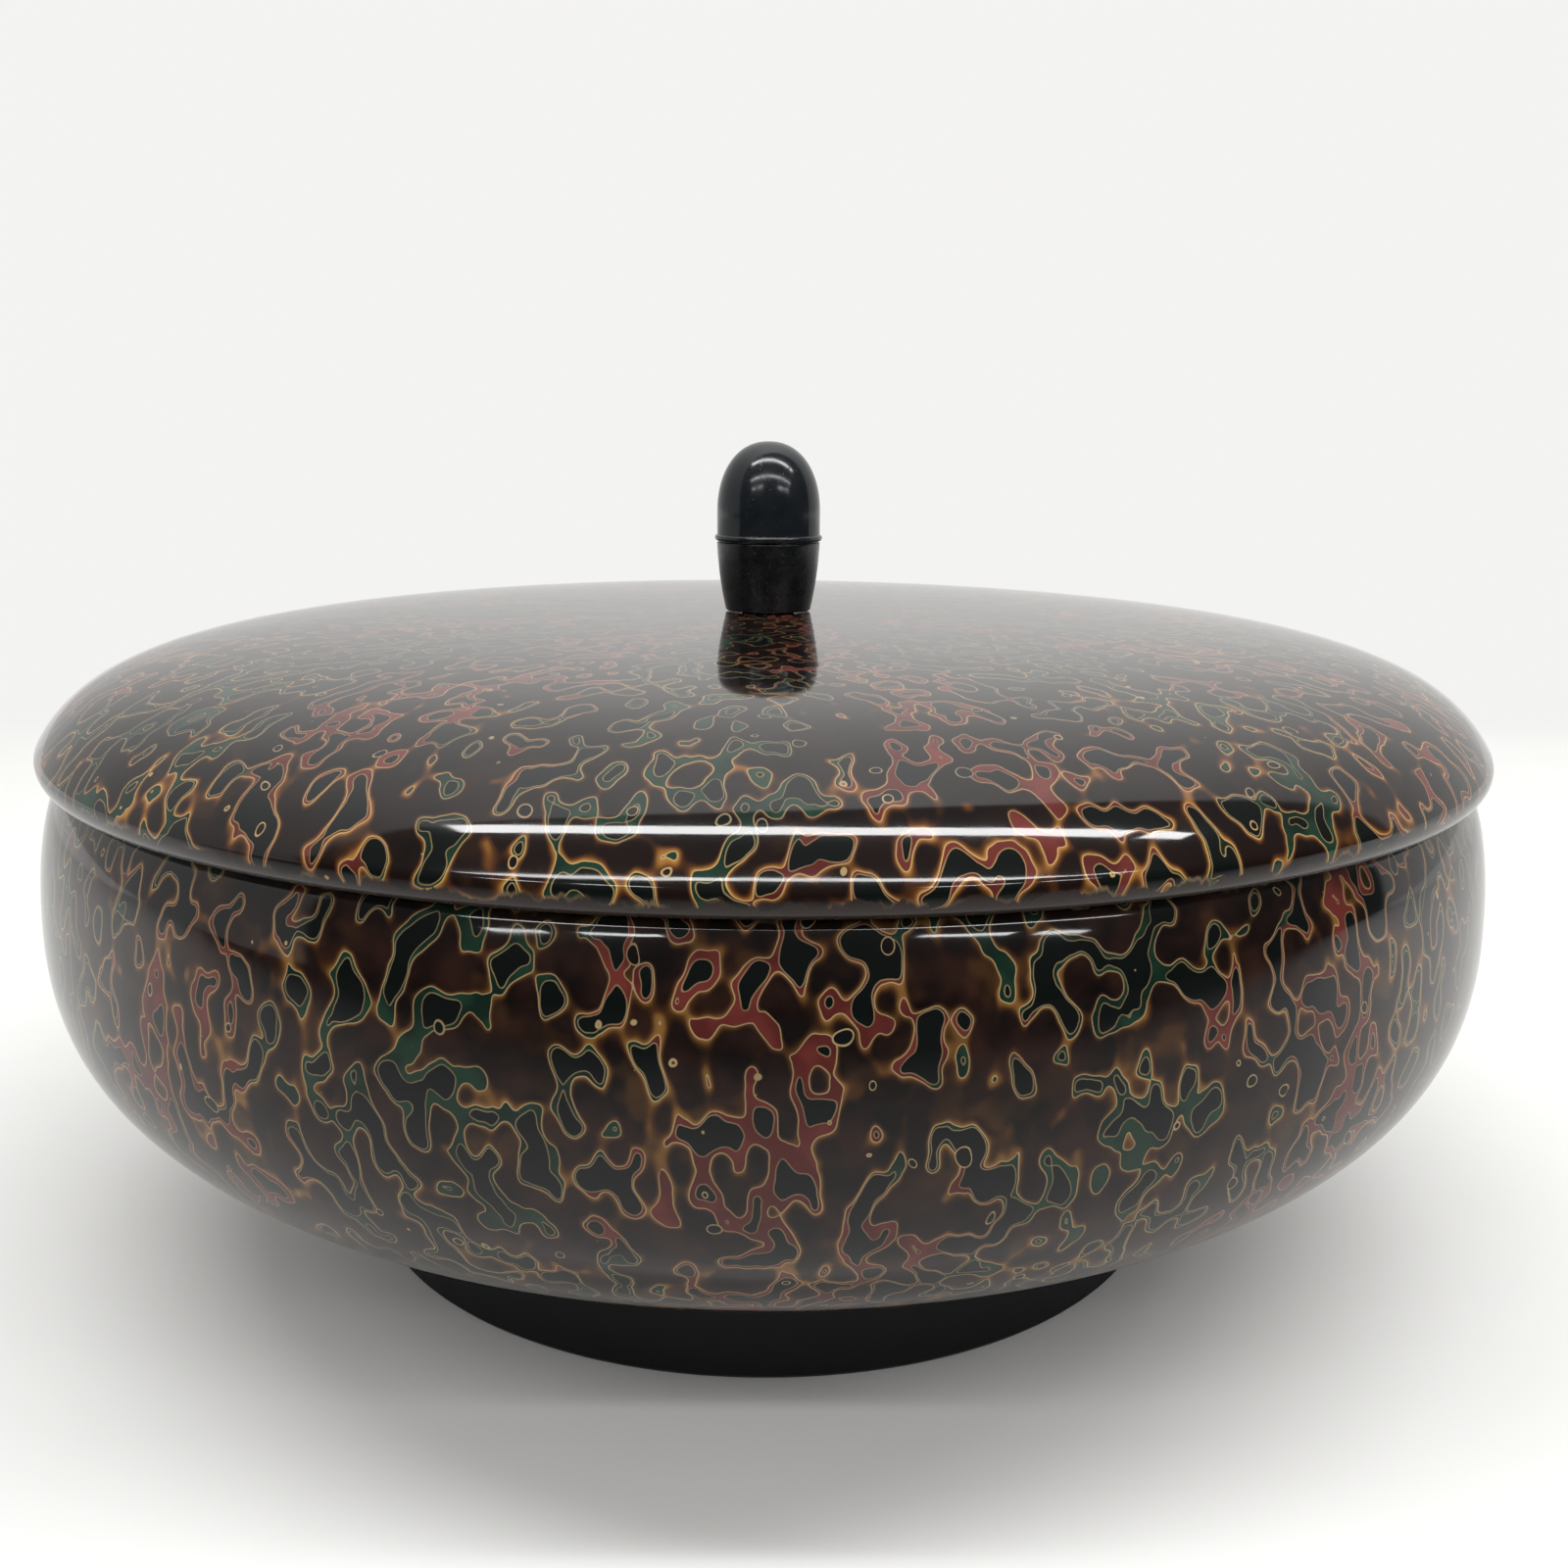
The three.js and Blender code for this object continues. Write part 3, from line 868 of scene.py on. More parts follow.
def settled(piece: Object) -> Object:
    """The piece with its modifiers' result as its own plain mesh.

    Args:
        piece: an object with modifiers.

    Returns:
        The same object, without modifiers.
    """
    graph = bpy.context.evaluated_depsgraph_get()
    shaped = piece.evaluated_get(graph)
    mesh = bpy.data.meshes.new_from_object(shaped, preserve_all_data_layers=True, depsgraph=graph)
    piece.modifiers.clear()
    piece.data = mesh
    mesh.name = piece.name
    return piece


class Turning:
    """A node tree that turns a half outline about Z into a closed smooth skin."""

    ZONE = "zone"
    SEAM = 1e-6  # metres: points closer than this become one
    SHARP = math.radians(38)
    INPUTS = {
        "Outline": "NodeSocketGeometry",
        "Sides": "NodeSocketInt",
        "Rows": "NodeSocketInt",
        "Seam": "NodeSocketFloat",
        "Sharp Angle": "NodeSocketFloat",
        "Outside": "NodeSocketMaterial",
        "Inside": "NodeSocketMaterial",
        "Underside": "NodeSocketMaterial",
    }

    def __init__(self) -> None:
        """Builds the tree with its named inputs."""
        self.tree = bpy.data.node_groups.new("turning", "GeometryNodeTree")
        face = self.tree.interface
        face.new_socket("Geometry", in_out="OUTPUT", socket_type="NodeSocketGeometry")
        self.inputs = {}
        for name, kind in self.INPUTS.items():
            self.inputs[name] = face.new_socket(name, in_out="INPUT", socket_type=kind).identifier
        self.graph = Graph(self.tree)
        self.given = self.graph.node("NodeGroupInput").outputs
        dressed = self._dressed(self._smoothed(self._skin()))
        self.graph.node("NodeGroupOutput", {"Geometry": dressed})

    def _zone(self) -> NodeSocket:
        """The stored zone."""
        return self.graph.out("GeometryNodeInputNamedAttribute", {"Name": self.ZONE}, data_type="INT")

    def _skin(self) -> NodeSocket:
        """Bends a flat grid round the axis, with a row of points for each point of the outline.

        Returns:
            The skin, with its zones marked and its seam merged.
        """
        graph, outline, rows = self.graph, self.given["Outline"], self.given["Rows"]
        columns = graph.math("ADD", self.given["Sides"], 1.0)
        inputs = {"Size X": 1.0, "Size Y": 1.0, "Vertices X": columns, "Vertices Y": rows}
        grid = graph.node("GeometryNodeMeshGrid", inputs).outputs["Mesh"]
        place = graph.out("GeometryNodeInputPosition")
        across, along, _ = graph.split(place)
        row = graph.times(graph.math("ADD", along, 0.5), graph.minus(rows, 1.0))
        turn = graph.times(graph.math("ADD", across, 0.5), math.tau)

        inputs = {"Geometry": outline, "Value": self._zone(), "Index": graph.math("FLOOR", row)}
        zone = graph.out("GeometryNodeSampleIndex", inputs, data_type="INT")
        inputs = {"Geometry": grid, "Name": self.ZONE, "Value": zone}
        marked = graph.out("GeometryNodeStoreNamedAttribute", inputs, data_type="INT", domain="FACE")

        inputs = {"Geometry": outline, "Value": place, "Index": graph.math("ROUND", row)}
        spot = graph.out("GeometryNodeSampleIndex", inputs, data_type="FLOAT_VECTOR")
        turned = graph.out("ShaderNodeVectorRotate", {"Vector": spot, "Angle": turn}, rotation_type="Z_AXIS")
        placed = graph.out("GeometryNodeSetPosition", {"Geometry": marked, "Position": turned})
        return graph.out("GeometryNodeMergeByDistance", {"Geometry": placed, "Distance": self.given["Seam"]})

    def _smoothed(self, skin: NodeSocket) -> NodeSocket:
        """Shades the skin smooth apart from its sharp edges.

        Args:
            skin: the skin.

        Returns:
            The shaded skin.
        """
        graph = self.graph
        smooth = graph.out("GeometryNodeSetShadeSmooth", {"Geometry": skin}, domain="FACE")
        angle = graph.node("GeometryNodeInputMeshEdgeAngle").outputs["Unsigned Angle"]
        inputs = {0: angle, 1: self.given["Sharp Angle"]}
        sharp = graph.out("FunctionNodeCompare", inputs, data_type="FLOAT", operation="GREATER_THAN")
        inputs = {"Geometry": smooth, "Selection": sharp, "Shade Smooth": False}
        return graph.out("GeometryNodeSetShadeSmooth", inputs, domain="EDGE")

    def _dressed(self, skin: NodeSocket) -> NodeSocket:
        """Gives each zone its material.

        Args:
            skin: the skin.

        Returns:
            The dressed skin.
        """
        dressed = self.graph.out("GeometryNodeRealizeInstances", {"Geometry": skin})
        own_zone = self._zone()
        for zone in Zone:
            inputs = {2: own_zone, 3: zone.value}
            chosen = self.graph.out("FunctionNodeCompare", inputs, data_type="INT", operation="EQUAL")
            material = self.given[zone.name.capitalize()]
            inputs = {"Geometry": dressed, "Selection": chosen, "Material": material}
            dressed = self.graph.out("GeometryNodeSetMaterial", inputs)
        return dressed

    def turn(
        self,
        name: str,
        outline: Outline,
        sides: int,
        skin: Material,
        lining: Material | None = None,
        underside: Material | None = None,
    ) -> Object:
        """Turns an outline into a piece.

        Args:
            name: the piece's name.
            outline: its half outline in millimetres.
            sides: facets of a full turn.
            skin: finish of the outside.
            lining: finish of the inside, or the outside's.
            underside: finish of the underside, or the outside's.

        Returns:
            The piece, a plain mesh in metres.
        """
        mesh = bpy.data.meshes.new(name)
        count = len(outline.points)
        points = [(r * MM, 0, z * MM) for r, z in outline.points]
        mesh.from_pydata(points, [(i, i + 1) for i in range(count - 1)], [])
        zones = mesh.attributes.new(self.ZONE, "INT", "POINT")
        zones.data.foreach_set("value", [zone.value for zone in outline.zones])
        made = added(name, mesh)
        modifier = made.modifiers.new("turning", "NODES")
        modifier.node_group = self.tree
        values = {
            "Sides": sides,
            "Rows": count,
            "Seam": self.SEAM,
            "Sharp Angle": self.SHARP,
            "Outside": skin,
            "Inside": lining or skin,
            "Underside": underside or skin,
        }
        for key, value in values.items():
            modifier[self.inputs[key]] = value
        return settled(made)


def hand_over(piece: Object, body: Body, node: str) -> None:
    """Puts a piece on its body in place of a part's node, and reports it.

    Args:
        piece: the piece.
        body: the body it rides on.
        node: the node it stands for.
    """
    _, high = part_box(node)
    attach(piece, body.value)
    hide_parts(node)
    corners = [Vector(corner) for corner in piece.bound_box]
    top = max(corner.z for corner in corners)
    wide = max(corner.x for corner in corners)
    LOG.info(
        "%s: %d faces, %.2f mm off at the top and %.2f mm at the side",
        piece.name,
        len(piece.data.polygons),
        (top - high.z) / MM,
        (wide - high.x) / MM,
    )


# Sub-assemblies


@dataclass
class Bowl:
    """The bowl and the foot ring it stands on."""

    sides: int = 256
    glue_line: float = 0.2
    foot_radius: float = 62.6
    foot_taper: float = 1.0
    foot_height: float = 14.6
    foot_wall: float = 6.0
    foot_edge: float = 0.8
    foot_ease: float = 0.5
    foot_recess: float = 6.0
    ledge: float = 0.6
    hip_slope: float = 15.0
    hip_fullness: float = 0.75
    belly_radius: float = 106.7
    belly_rise: float = 40.2
    belly_fullness: float = 0.49
    underside_steps: int = 48
    rim_rise: float = 20.6
    shoulder_draw: float = 3.0
    shoulder_fullness: float = 0.5
    shoulder_ease: float = 0.2
    wall_steps: int = 18
    rim_lean: float = 24.0
    rim_round: float = 2.6
    rim_steps: int = 12
    rim_wall: float = 6.0
    rim_inner_round: float = 1.0
    mouth_steps: int = 6
    rim_land: float = 4.0
    wall: float = 5.0
    floor: float = 5.6
    floor_fullness: float = 0.4
    inside_steps: int = 16
    edge_ease: float = 0.3

    def foot_outline(self) -> Outline:
        """The foot ring's half outline.

        Returns:
            The closed outline.
        """
        bore, top = self.foot_radius - self.foot_wall, self.foot_radius - self.foot_taper
        corners = [
            (bore + self.foot_edge, 0),
            (self.foot_radius - self.foot_edge, 0),
            (self.foot_radius, self.foot_edge),
            (top, self.foot_height),
            (bore, self.foot_height),
            (bore, self.foot_edge),
        ]
        return Outline().run(corners).eased(self.foot_ease, closed=True)

    def bowl_outline(self) -> Outline:
        """The bowl's half outline: bottom, underside, wall, rim and inside.

        Returns:
            The outline, from the middle of the bottom to the middle of the floor.
        """
        spigot = self.foot_radius - self.foot_wall - self.glue_line
        joint = (self.foot_radius - self.foot_taper + self.ledge, self.foot_height + self.glue_line)
        belly = (self.belly_radius, joint[1] + self.belly_rise)
        slope = math.tan(math.radians(self.hip_slope))
        reach = self.hip_fullness * (belly[0] - joint[0])
        hip = (joint[0] + reach, joint[1] + reach * slope)
        upright = (belly[0], belly[1] - self.belly_fullness * self.belly_rise)
        underside = bezier(joint, hip, upright, belly, self.underside_steps)

        lean = math.radians(self.rim_lean)
        rim_height = belly[1] + self.rim_rise
        rim_radius = self.belly_radius - self.shoulder_draw
        centre = (rim_radius - self.rim_round * math.cos(lean), rim_height - self.rim_round)
        rim = arc(centre, self.rim_round, self.rim_round, self.rim_lean, 90, self.rim_steps)
        rise = rim[0][1] - belly[1]
        ease = rise * self.shoulder_ease
        leaning = (rim[0][0] + ease * math.tan(lean), rim[0][1] - ease)
        upright = (belly[0], belly[1] + rise * self.shoulder_fullness)
        wall = bezier(belly, upright, leaning, rim[0], self.wall_steps)

        mouth_radius = rim_radius - self.rim_wall
        mouth_centre = (mouth_radius + self.rim_inner_round, rim_height - self.rim_inner_round)
        mouth = arc(mouth_centre, self.rim_inner_round, self.rim_inner_round, 90, 180, self.mouth_steps)
        inside = offset(underside, self.wall)[::-1]
        land = (mouth_radius, rim_height - self.rim_land)
        start, edge = inside[0], inside[-1]
        inner_rise = land[1] - start[1]
        leaning = ((land[0] + start[0]) / 2, land[1] - inner_rise * self.shoulder_ease)
        upright = (start[0], start[1] + inner_rise * self.shoulder_fullness)
        inner_wall = bezier(land, leaning, upright, start, self.inside_steps)
        floor_reach = edge[0] * self.floor_fullness
        floor_height = self.foot_recess + self.floor
        sloping = (edge[0] - floor_reach, edge[1] - floor_reach * slope)
        floor = bezier(edge, sloping, (floor_reach, floor_height), (0, floor_height), self.inside_steps)

        bottom = [(0, self.foot_recess), (spigot, self.foot_recess), (spigot, joint[1])]
        outline = Outline().run(bottom, Zone.UNDERSIDE).run(underside).run(wall[1:]).run(rim[1:])
        for stretch in (mouth, inner_wall, inside[1:], floor[1:]):
            outline.run(stretch, Zone.INSIDE)
        return outline.eased(self.edge_ease, closed=False)

    def build(self, turning: Turning) -> None:
        """Makes the bowl and the foot ring.

        Args:
            turning: the tree that turns outlines.
        """
        skins = (BOWL_SKIN.material(), LINING.material(), SATIN.material())
        bowl = turning.turn("bowl_shell", self.bowl_outline(), self.sides, *skins)
        hand_over(bowl, Body.BOWL, "bowl")
        foot = turning.turn("foot_ring_turned", self.foot_outline(), self.sides, SATIN.material())
        hand_over(foot, Body.BOWL, "foot_ring")


@dataclass
class Lid:
    """The lid, with the step below it that drops into the bowl's mouth."""

    sides: int = 256
    seat: float = 75.8
    radius: float = 106.0
    edge_rise: float = 2.2
    edge_radius: float = 2.9
    edge_steps: int = 16
    crown: float = 16.3
    crown_lean: float = 29.3
    crown_ease: float = 0.15
    crown_flatness: float = 0.72
    crown_steps: int = 64
    wall: float = 4.5
    step_radius: float = 97.2
    step_depth: float = 6.0
    step_wall: float = 3.0
    step_edge: float = 0.8
    bore: float = 4.2
    washer_seat: float = 5.8
    hollow_drop: float = 0.35  # from the hollow's last point down to the step
    edge_ease: float = 0.3

    @property
    def top(self) -> float:
        """Height of the flat top."""
        return self.seat + self.edge_rise + self.crown

    def outline(self) -> Outline:
        """The lid's half outline: step, flange, round edge, crown and hollow.

        Returns:
            The closed outline.
        """
        lip = -math.degrees(math.asin(self.edge_rise / self.edge_radius))
        centre = (self.radius - self.edge_radius, self.seat + self.edge_rise)
        edge = arc(centre, self.edge_radius, self.edge_radius, lip, self.crown_lean, self.edge_steps)
        lean, ease = math.radians(self.crown_lean), self.radius * self.crown_ease
        shoulder = edge[-1]
        handle = (shoulder[0] - ease * math.sin(lean), shoulder[1] + ease * math.cos(lean))
        flat = (self.radius * self.crown_flatness, self.top)
        crown = bezier(shoulder, handle, flat, (0, self.top), self.crown_steps)
        under = offset(crown, self.wall)
        step_bore = self.step_radius - self.step_wall
        hollow = [spot for spot in under if self.washer_seat < spot[0] < step_bore][::-1]
        foot, ceiling = self.seat - self.step_depth, self.top - self.wall
        step = [
            (step_bore, foot),
            (self.step_radius - self.step_edge, foot),
            (self.step_radius, foot + self.step_edge),
            (self.step_radius, self.seat),
        ]
        outline = Outline().run(step, Zone.INSIDE)
        outline.run(edge).run([spot for spot in crown[1:] if spot[0] > self.bore])
        outline.run([(self.bore, self.top), (self.bore, ceiling), (self.washer_seat, ceiling)], Zone.INSIDE)
        outline.run([*hollow, (step_bore, hollow[-1][1] - self.hollow_drop)], Zone.INSIDE)
        return outline.eased(self.edge_ease, closed=True)

    def build(self, turning: Turning) -> None:
        """Makes the lid.

        Args:
            turning: the tree that turns outlines.
        """
        skins = (LID_SKIN.material(), LINING.material())
        lid = turning.turn("lid_shell", self.outline(), self.sides, *skins)
        hand_over(lid, Body.LID, "lid")


@dataclass
class Knob:
    """The knob on the lid: a stem, a domed cap, and the screw, washer and insert that hold them."""

    lid_top: float
    sides: int = 96
    metal_sides: int = 64
    glue_line: float = 0.2
    lid_wall: float = 4.5
    stem_foot_radius: float = 6.55
    stem_top_radius: float = 7.95
    stem_height: float = 10.5
    stem_bulge: float = 0.25
    stem_steps: int = 20
    stem_ease: float = 0.3
    tenon_radius: float = 4.0
    tenon_shortfall: float = 0.9
    bore: float = 2.2
    cap_radius: float = 7.95
    cap_skirt: float = 4.1
    cap_dome: float = 10.9
    cap_bluntness: float = 1.1  # 1 makes the dome an ellipse, more fills out its shoulder
    cap_steps: int = 28
    cap_ease: float = 0.15
    bead_stand: float = 0.35
    bead_height: float = 0.9
    bead_steps: int = 8
    insert_radius: float = 3.2
    insert_length: float = 7.0
    tip_room: float = 1.5
    screw_radius: float = 1.9
    screw_shortfall: float = 1.0
    tip_bevel: float = 0.8
    head_radius: float = 3.7
    head_height: float = 2.3
    head_rim: float = 0.8
    head_steps: int = 12
    recess_length: float = 4.4
    recess_width: float = 0.9
    recess_depth: float = 1.2
    recess_taper: float = 0.8  # size of the recess's floor for its size outside
    washer_radius: float = 5.6
    washer_thickness: float = 1.0
    metal_ease: float = 0.2

    @property
    def cap_foot(self) -> float:
        """Height of the cap's lower face."""
        return self.lid_top + 2 * self.glue_line + self.stem_height

    @property
    def washer_foot(self) -> float:
        """Height of the washer's lower face."""
        return self.lid_top - self.lid_wall - self.glue_line - self.washer_thickness

    def stem_outline(self) -> Outline:
        """The stem's half outline, with its tenon and the screw's hole.

        Returns:
            The closed outline.
        """
        tenon_foot = self.lid_top + self.tenon_shortfall - self.lid_wall
        foot, top = self.lid_top + self.glue_line, self.lid_top + self.glue_line + self.stem_height
        swell = self.stem_bulge * 4 / 3
        third = (self.stem_top_radius - self.stem_foot_radius) / 3
        side = bezier(
            (self.stem_foot_radius, foot),
            (self.stem_foot_radius + third + swell, foot + self.stem_height / 3),
            (self.stem_top_radius - third + swell, top - self.stem_height / 3),
            (self.stem_top_radius, top),
            self.stem_steps,
        )
        tenon = [(self.bore, tenon_foot), (self.tenon_radius, tenon_foot), (self.tenon_radius, foot)]
        return Outline().run(tenon).run(side).run([(self.bore, top)]).eased(self.stem_ease, closed=True)

    def cap_outline(self) -> Outline:
        """The cap's half outline, with the blind hole for the insert.

        Returns:
            The outline, from the top of the hole to the top of the dome.
        """
        foot = self.cap_foot
        hole, hole_top = self.insert_radius + self.glue_line, foot + self.insert_length + self.tip_room
        half = self.bead_height / 2
        bead = arc((self.cap_radius, foot + half), self.bead_stand, half, -90, 90, self.bead_steps)
        fullness = 1 / self.cap_bluntness
        shoulder = foot + self.cap_skirt
        dome = []
        for x, z in arc((0, 0), 1, 1, 0, 90, self.cap_steps)[:-1]:
            dome.append((self.cap_radius * x**fullness, shoulder + self.cap_dome * max(z, 0) ** fullness))
        outline = Outline().run([(0, hole_top), (hole, hole_top), (hole, foot)])
        outline.run(bead).run(dome).run([(0, shoulder + self.cap_dome)])
        return outline.eased(self.cap_ease, closed=False)

    def washer_outline(self) -> Outline:
        """The washer's half outline.

        Returns:
            The closed outline.
        """
        foot, top = self.washer_foot, self.washer_foot + self.washer_thickness
        corners = [(self.bore, foot), (self.washer_radius, foot), (self.washer_radius, top), (self.bore, top)]
        return Outline().run(corners).eased(self.metal_ease, closed=True)

    def screw_outline(self) -> Outline:
        """The screw's half outline, head down.

        Returns:
            The outline, from the middle of the head to the middle of the tip.
        """
        head_top = self.washer_foot - self.glue_line
        tip = self.cap_foot + self.insert_length - self.screw_shortfall
        bulge = self.head_height - self.head_rim
        dome = arc((0, head_top - self.head_rim), self.head_radius, bulge, -90, 0, self.head_steps)[1:]
        shank = [
            (self.head_radius, head_top),
            (self.screw_radius, head_top),
            (self.screw_radius, tip - self.tip_bevel),
            (self.screw_radius - self.tip_bevel, tip),
            (0, tip),
        ]
        outline = Outline().run([(0, head_top - self.head_height)]).run(dome).run(shank)
        return outline.eased(self.metal_ease, closed=False)

    def cut_recess(self, screw: Object) -> Object:
        """Cuts the cross recess into the screw's head.

        Args:
            screw: the turned screw.

        Returns:
            The screw with its recess.
        """
        half, side = self.recess_length * MM / 2, self.recess_width * MM / 2
        low = (self.washer_foot - self.glue_line - self.head_height) * MM
        depth = self.recess_depth * MM
        mesh = bpy.data.meshes.new("recess_cutter")
        loop = [(half, side), (side, side), (side, half), (-side, half), (-side, side), (-half, side)]
        loop += [(-x, -y) for x, y in loop]
        count = len(loop)
        points = [(x, y, low - depth) for x, y in loop]
        points += [(x * self.recess_taper, y * self.recess_taper, low + depth) for x, y in loop]
        walls = [(i, (i + 1) % count, (i + 1) % count + count, i + count) for i in range(count)]
        mesh.from_pydata(points, [], [tuple(range(count))[::-1], tuple(range(count, 2 * count)), *walls])
        cutter = added("recess_cutter", mesh)
        modifier = screw.modifiers.new("recess", "BOOLEAN")
        modifier.operation = "DIFFERENCE"
        modifier.solver = "EXACT"
        modifier.object = cutter
        settled(screw)
        bpy.data.objects.remove(cutter)
        return screw

    def build(self, turning: Turning, nodes: dict[str, Object]) -> None:
        """Makes the knob's pieces.

        Args:
            turning: the tree that turns outlines.
            nodes: the part's own nodes, of which the insert is kept.
        """
        stem = turning.turn("knob_stem_turned", self.stem_outline(), self.sides, STEM.material())
        hand_over(stem, Body.LID, "knob_stem")
        cap = turning.turn("knob_cap_turned", self.cap_outline(), self.sides, CAP.material())
        hand_over(cap, Body.LID, "knob_cap")
        washer = turning.turn("knob_washer_turned", self.washer_outline(), self.metal_sides, STEEL.material())
        hand_over(washer, Body.LID, "knob_washer")
        screw = turning.turn("knob_screw_turned", self.screw_outline(), self.metal_sides, STEEL.material())
        hand_over(self.cut_recess(screw), Body.LID, "knob_screw")
        insert = nodes["knob_insert"]
        insert.data.materials.clear()
        insert.data.materials.append(BRASS.material())
        LOG.info("%s keeps its own shape", insert.name)


# Studio


@dataclass(frozen=True)
class Strip:
    """A long lamp that hangs level along X."""

    name: str
    x: float
    y: float
    length: float
    width: float
    radiance: float
    height: float = 1.285

    def build(self) -> None:
        """Hangs the lamp."""
        lamp = bpy.data.lights.new(self.name, "AREA")
        lamp.shape = "RECTANGLE"
        lamp.size, lamp.size_y = self.length, self.width
        lamp.energy = self.radiance * math.pi * self.length * self.width
        added(self.name, lamp).location = (self.x, self.y, self.height)


@dataclass(frozen=True)
class PhotoCamera:
    """The camera, where the photograph was taken."""

    lens: float = 37.8
    sensor: float = 36.0
    nearest: float = 0.01
    back: float = 0.25704
    height: float = 0.1219
    pitch: float = 12.138
    yaw: float = 0.61
    roll: float = 0.505

    def build(self) -> None:
        """Sets the camera up."""
        yaw, pitch, roll = (math.radians(angle) for angle in (self.yaw, self.pitch, self.roll))
        level = math.cos(pitch)
        ahead = Vector((math.sin(yaw) * level, math.cos(yaw) * level, -math.sin(pitch)))
        right = Vector((math.cos(yaw), -math.sin(yaw), 0))
        up = right.cross(ahead)
        side = right * math.cos(roll) + up * math.sin(roll)
        upright = up * math.cos(roll) - right * math.sin(roll)
        data = bpy.data.cameras.new("camera")
        data.lens, data.sensor_width, data.sensor_fit = self.lens, self.sensor, "AUTO"
        data.clip_start = self.nearest
        made = added("camera", data)
        turn = Matrix((side, upright, -ahead)).transposed().to_4x4()
        made.matrix_world = Matrix.Translation((0, -self.back, self.height)) @ turn
        bpy.context.scene.camera = made


@dataclass(frozen=True)
class Room:
    """What surrounds the table: white behind and above, and a dim side towards the camera.

    The lacquer mirrors the room as it is. Its soft light is evened out, and the camera sees a plain backdrop.
    """

    backdrop: float = 0.9
    tint: Triple = (1.0, 0.995, 0.98)
    fill: float = 0.62  # share of the room's level that lights softly
    front_fill: float = 0.75  # least level for that light
    wall_way: Triple = (-0.29, 0.957, 0.0)
    wall_lean: float = 0.19  # how much further back the white starts higher up
    wall_start: float = -0.1
    wall_soft: float = 0.02
    wall_level: float = 0.83
    ceiling: float = 0.9  # how much whiter it is overhead
    ceiling_rise: float = 4.0
    right_gain: float = 0.12  # how much whiter it is on the right
    side_gain: float = -0.4  # and far to both sides
    dim: float = 0.03
    dim_rise: float = 0.18

    def build(self) -> None:
        """Sets the world up."""
        world = bpy.data.worlds.new("studio")
        bpy.context.scene.world = world
        world.use_nodes = True
        world.node_tree.nodes.clear()
        graph = Graph(world.node_tree)
        way = graph.node("ShaderNodeTexCoord").outputs["Generated"]
        x, _, z = graph.split(way)
        up = graph.larger(z, 0.0)
        past = graph.minus(graph.dot(way, self.wall_way), graph.line(up, self.wall_lean, self.wall_start))
        white = graph.ramp(past, -self.wall_soft, self.wall_soft)
        level = graph.line(graph.math("POWER", up, self.ceiling_rise), self.ceiling, self.wall_level)
        level = graph.times(level, graph.line(x, self.right_gain, 1.0))
        level = graph.times(level, graph.line(graph.times(x, x), self.side_gain, 1.0))
        room = graph.blend(white, graph.line(up, self.dim_rise, self.dim), level)
        path = graph.node("ShaderNodeLightPath").outputs
        mirrored = graph.larger(path["Is Glossy Ray"], path["Is Transmission Ray"])
        soft = graph.times(graph.larger(room, self.front_fill), self.fill)
        strength = graph.blend(mirrored, soft, room)
        strength = graph.blend(path["Is Camera Ray"], strength, self.backdrop)
        surface = graph.out("ShaderNodeBackground", {"Color": self.tint, "Strength": strength})
        graph.node("ShaderNodeOutputWorld", {"Surface": surface})


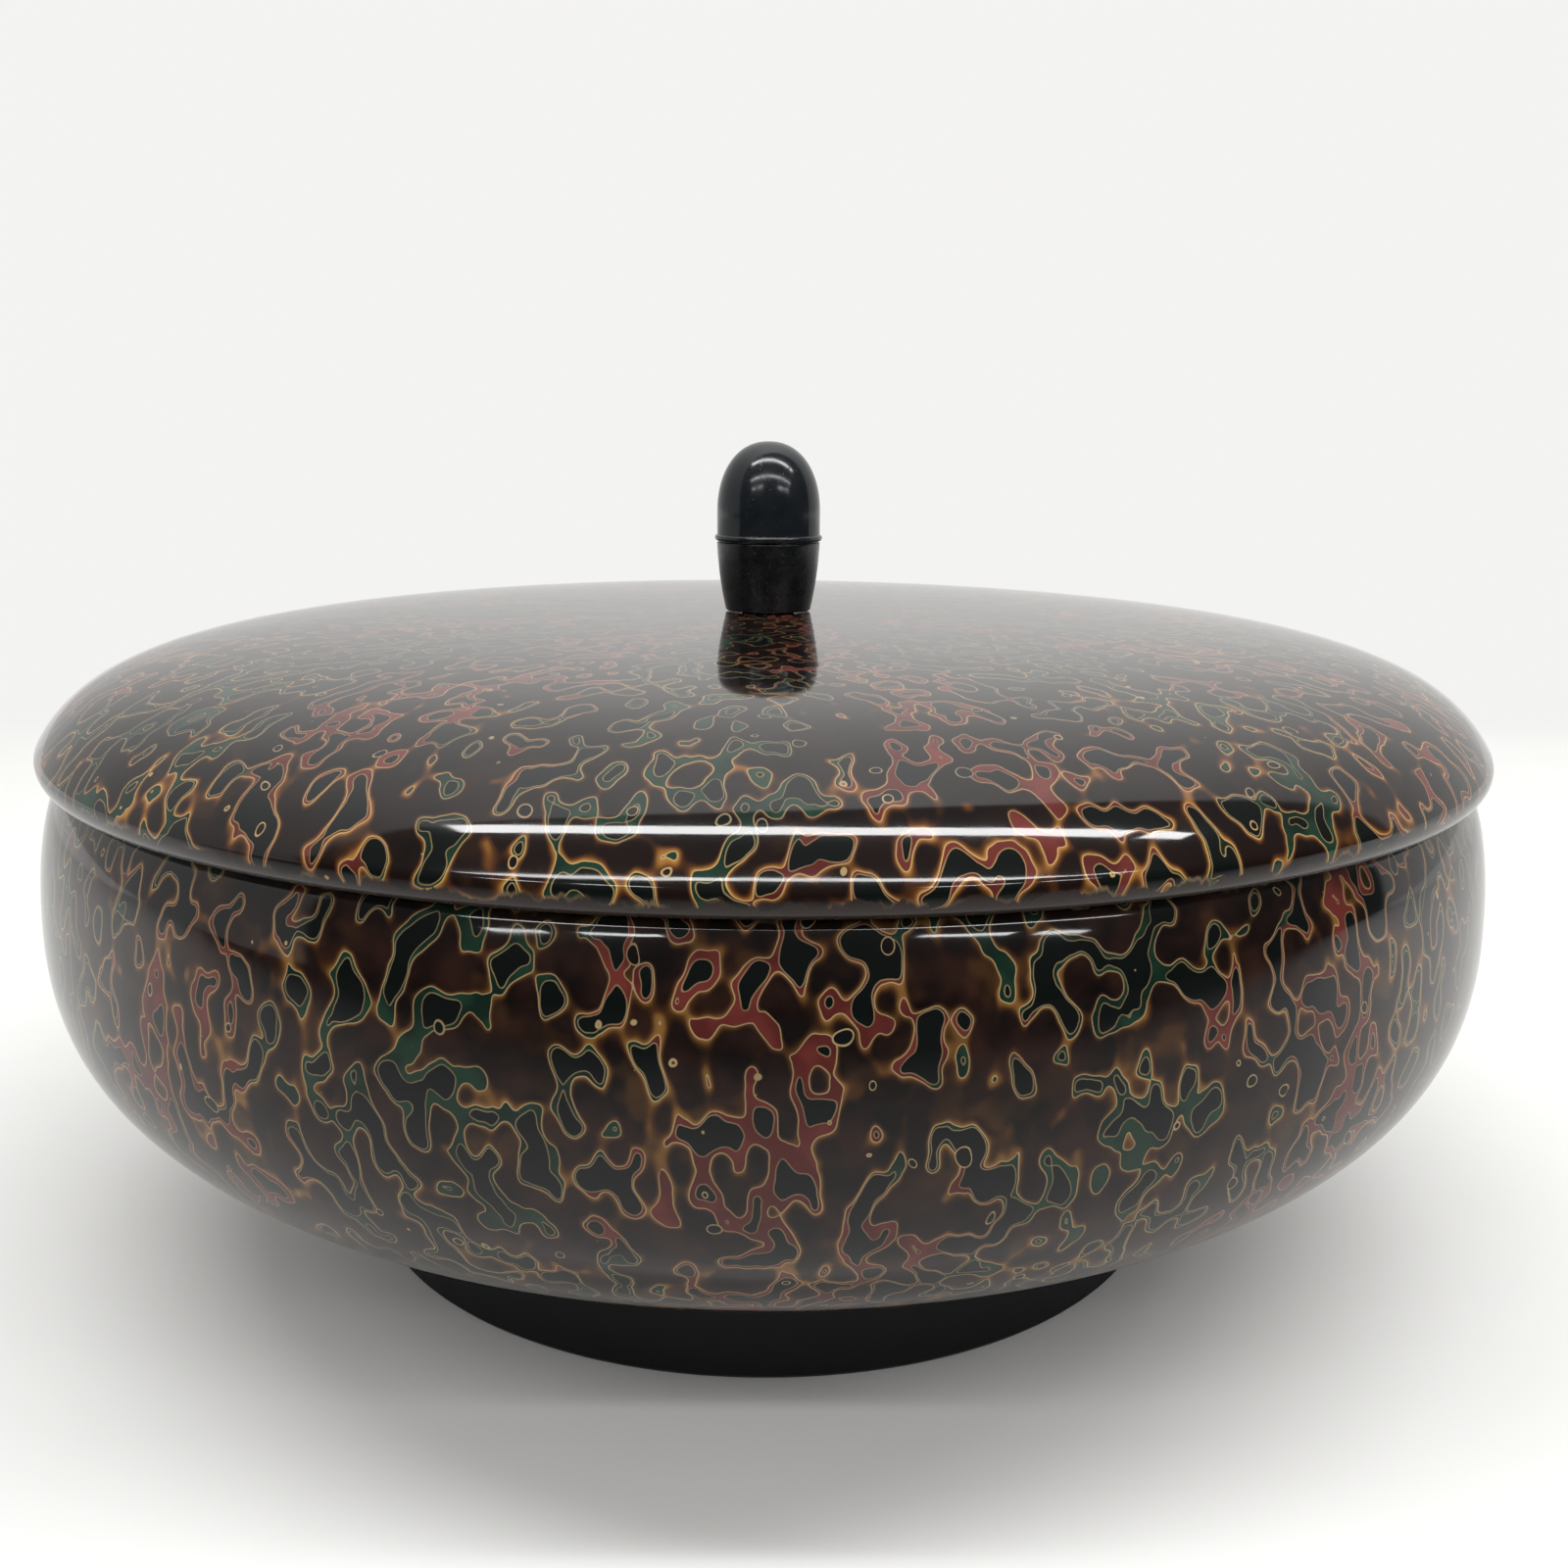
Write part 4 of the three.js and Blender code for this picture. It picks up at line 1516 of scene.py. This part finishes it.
@dataclass(frozen=True)
class Table:
    """The pale table, which fades into the backdrop and is clear from below.

    To all but the camera its near side is darker: painted shade. Its colour has painted shade towards the
    camera and painted light in line with the bowl. Spans along Y run away from the camera.
    """

    room: Room
    half: float = 3.0
    tint: Triple = (1.0, 1.0, 0.985)
    painted_shade_span: Span = (-0.24, 0.12)  # along Y; painted shade, darker towards the camera
    shade: Span = (0.68, 0.9)
    grain: float = 0.03
    grain_scale: float = 40.0
    lit_middle_span: Span = (0.0, 0.16)  # to both sides; painted light, lighter in line with the bowl than to the sides
    middle: Span = (1.12, 0.95)
    shaded_near_span: Span = (-0.48, 0.02)  # along Y; painted shade that all but the camera sees
    near: Span = (0.13, 0.9)
    near_fall: float = 1.5
    roughness: float = 0.9
    specular: float = 0.1
    far_span: Span = (0.38, 0.46)  # along Y
    away_span: Span = (1.1, 1.9)  # from the middle

    def build(self) -> None:
        """Lays the table."""
        mesh = bpy.data.meshes.new("table")
        corners = [(x * self.half, y * self.half, 0) for x, y in ((-1, -1), (1, -1), (1, 1), (-1, 1))]
        mesh.from_pydata(corners, [], [(0, 1, 2, 3)])
        paint = Paint("pale_table")
        x, y, _ = paint.split(paint.spot)
        path = paint.node("ShaderNodeLightPath").outputs
        seen = path["Is Camera Ray"]
        # Painted shade: the table's colour darkens towards the camera.
        shade = paint.ramp(y, *self.painted_shade_span, *self.shade)
        shade = paint.line(paint.noise(paint.spot, self.grain_scale), self.grain, shade)
        # Painted light: lighter in line with the bowl, darker to the sides.
        shade = paint.times(shade, paint.ramp(paint.math("ABSOLUTE", x), *self.lit_middle_span, *self.middle))
        # Painted shade: to all but the camera, the near side darkens almost to black.
        near = paint.math("POWER", paint.ramp(y, *self.shaded_near_span, *self.near), self.near_fall)
        colour = paint.mix(paint.larger(near, seen), (0.0, 0.0, 0.0), paint.scaled(self.tint, shade))
        paint.shade({"Base Color": colour, "Roughness": self.roughness, "Specular IOR Level": self.specular})

        # It becomes the backdrop far behind, and all round for the camera
        far = paint.times(paint.ramp(y, *self.far_span), paint.larger(seen, path["Is Glossy Ray"]))
        away = paint.times(paint.ramp(paint.from_axis(paint.spot), *self.away_span), seen)
        glow = paint.out("ShaderNodeEmission", {"Color": self.room.tint, "Strength": self.room.backdrop})
        inputs = {0: paint.larger(far, away), 1: paint.shader.outputs[0], 2: glow}
        faded = paint.out("ShaderNodeMixShader", inputs)

        # It doesn't hide the object from below
        below = paint.times(paint.node("ShaderNodeNewGeometry").outputs["Backfacing"], seen)
        inputs = {0: below, 1: faded, 2: paint.out("ShaderNodeBsdfTransparent")}
        paint.feed(paint.output.inputs["Surface"], paint.out("ShaderNodeMixShader", inputs))
        mesh.materials.append(paint.material)
        added("table", mesh)


@dataclass
class Studio:
    """The table in its room, the ceiling lamps and the camera."""

    room: Room = Room()
    lamps: tuple[Strip, ...] = (
        Strip("near_strip", 0.105, -0.305, 1.81, 0.125, 19.5),
        Strip("near_strip_end", 1.21, -0.305, 0.23, 0.125, 19.5),
        Strip("middle_strip", 0.25, -1.27, 3.3, 0.1, 17.0),
        Strip("far_lamp_1", -1.68, -2.25, 0.53, 0.16, 17.0),
        Strip("far_lamp_2", -0.89, -2.25, 0.53, 0.16, 17.0),
        Strip("far_lamp_3", 1.3, -2.25, 0.7, 0.16, 17.0),
        Strip("far_lamp_4", 2.15, -2.25, 0.53, 0.16, 17.0),
    )

    def build(self) -> None:
        """Sets up the whole studio."""
        PhotoCamera().build()
        self.room.build()
        Table(self.room).build()
        for lamp in self.lamps:
            lamp.build()
        bpy.context.scene.view_settings.view_transform = "Standard"


def main() -> None:
    """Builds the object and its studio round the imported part."""
    logging.basicConfig(level=logging.INFO, format="%(name)s %(message)s")
    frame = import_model()
    turning = Turning()
    Bowl().build(turning)
    lid = Lid()
    lid.build(turning)
    Knob(lid_top=lid.top).build(turning, frame["nodes"])
    Studio().build()


if __name__ == "__main__":
    main()
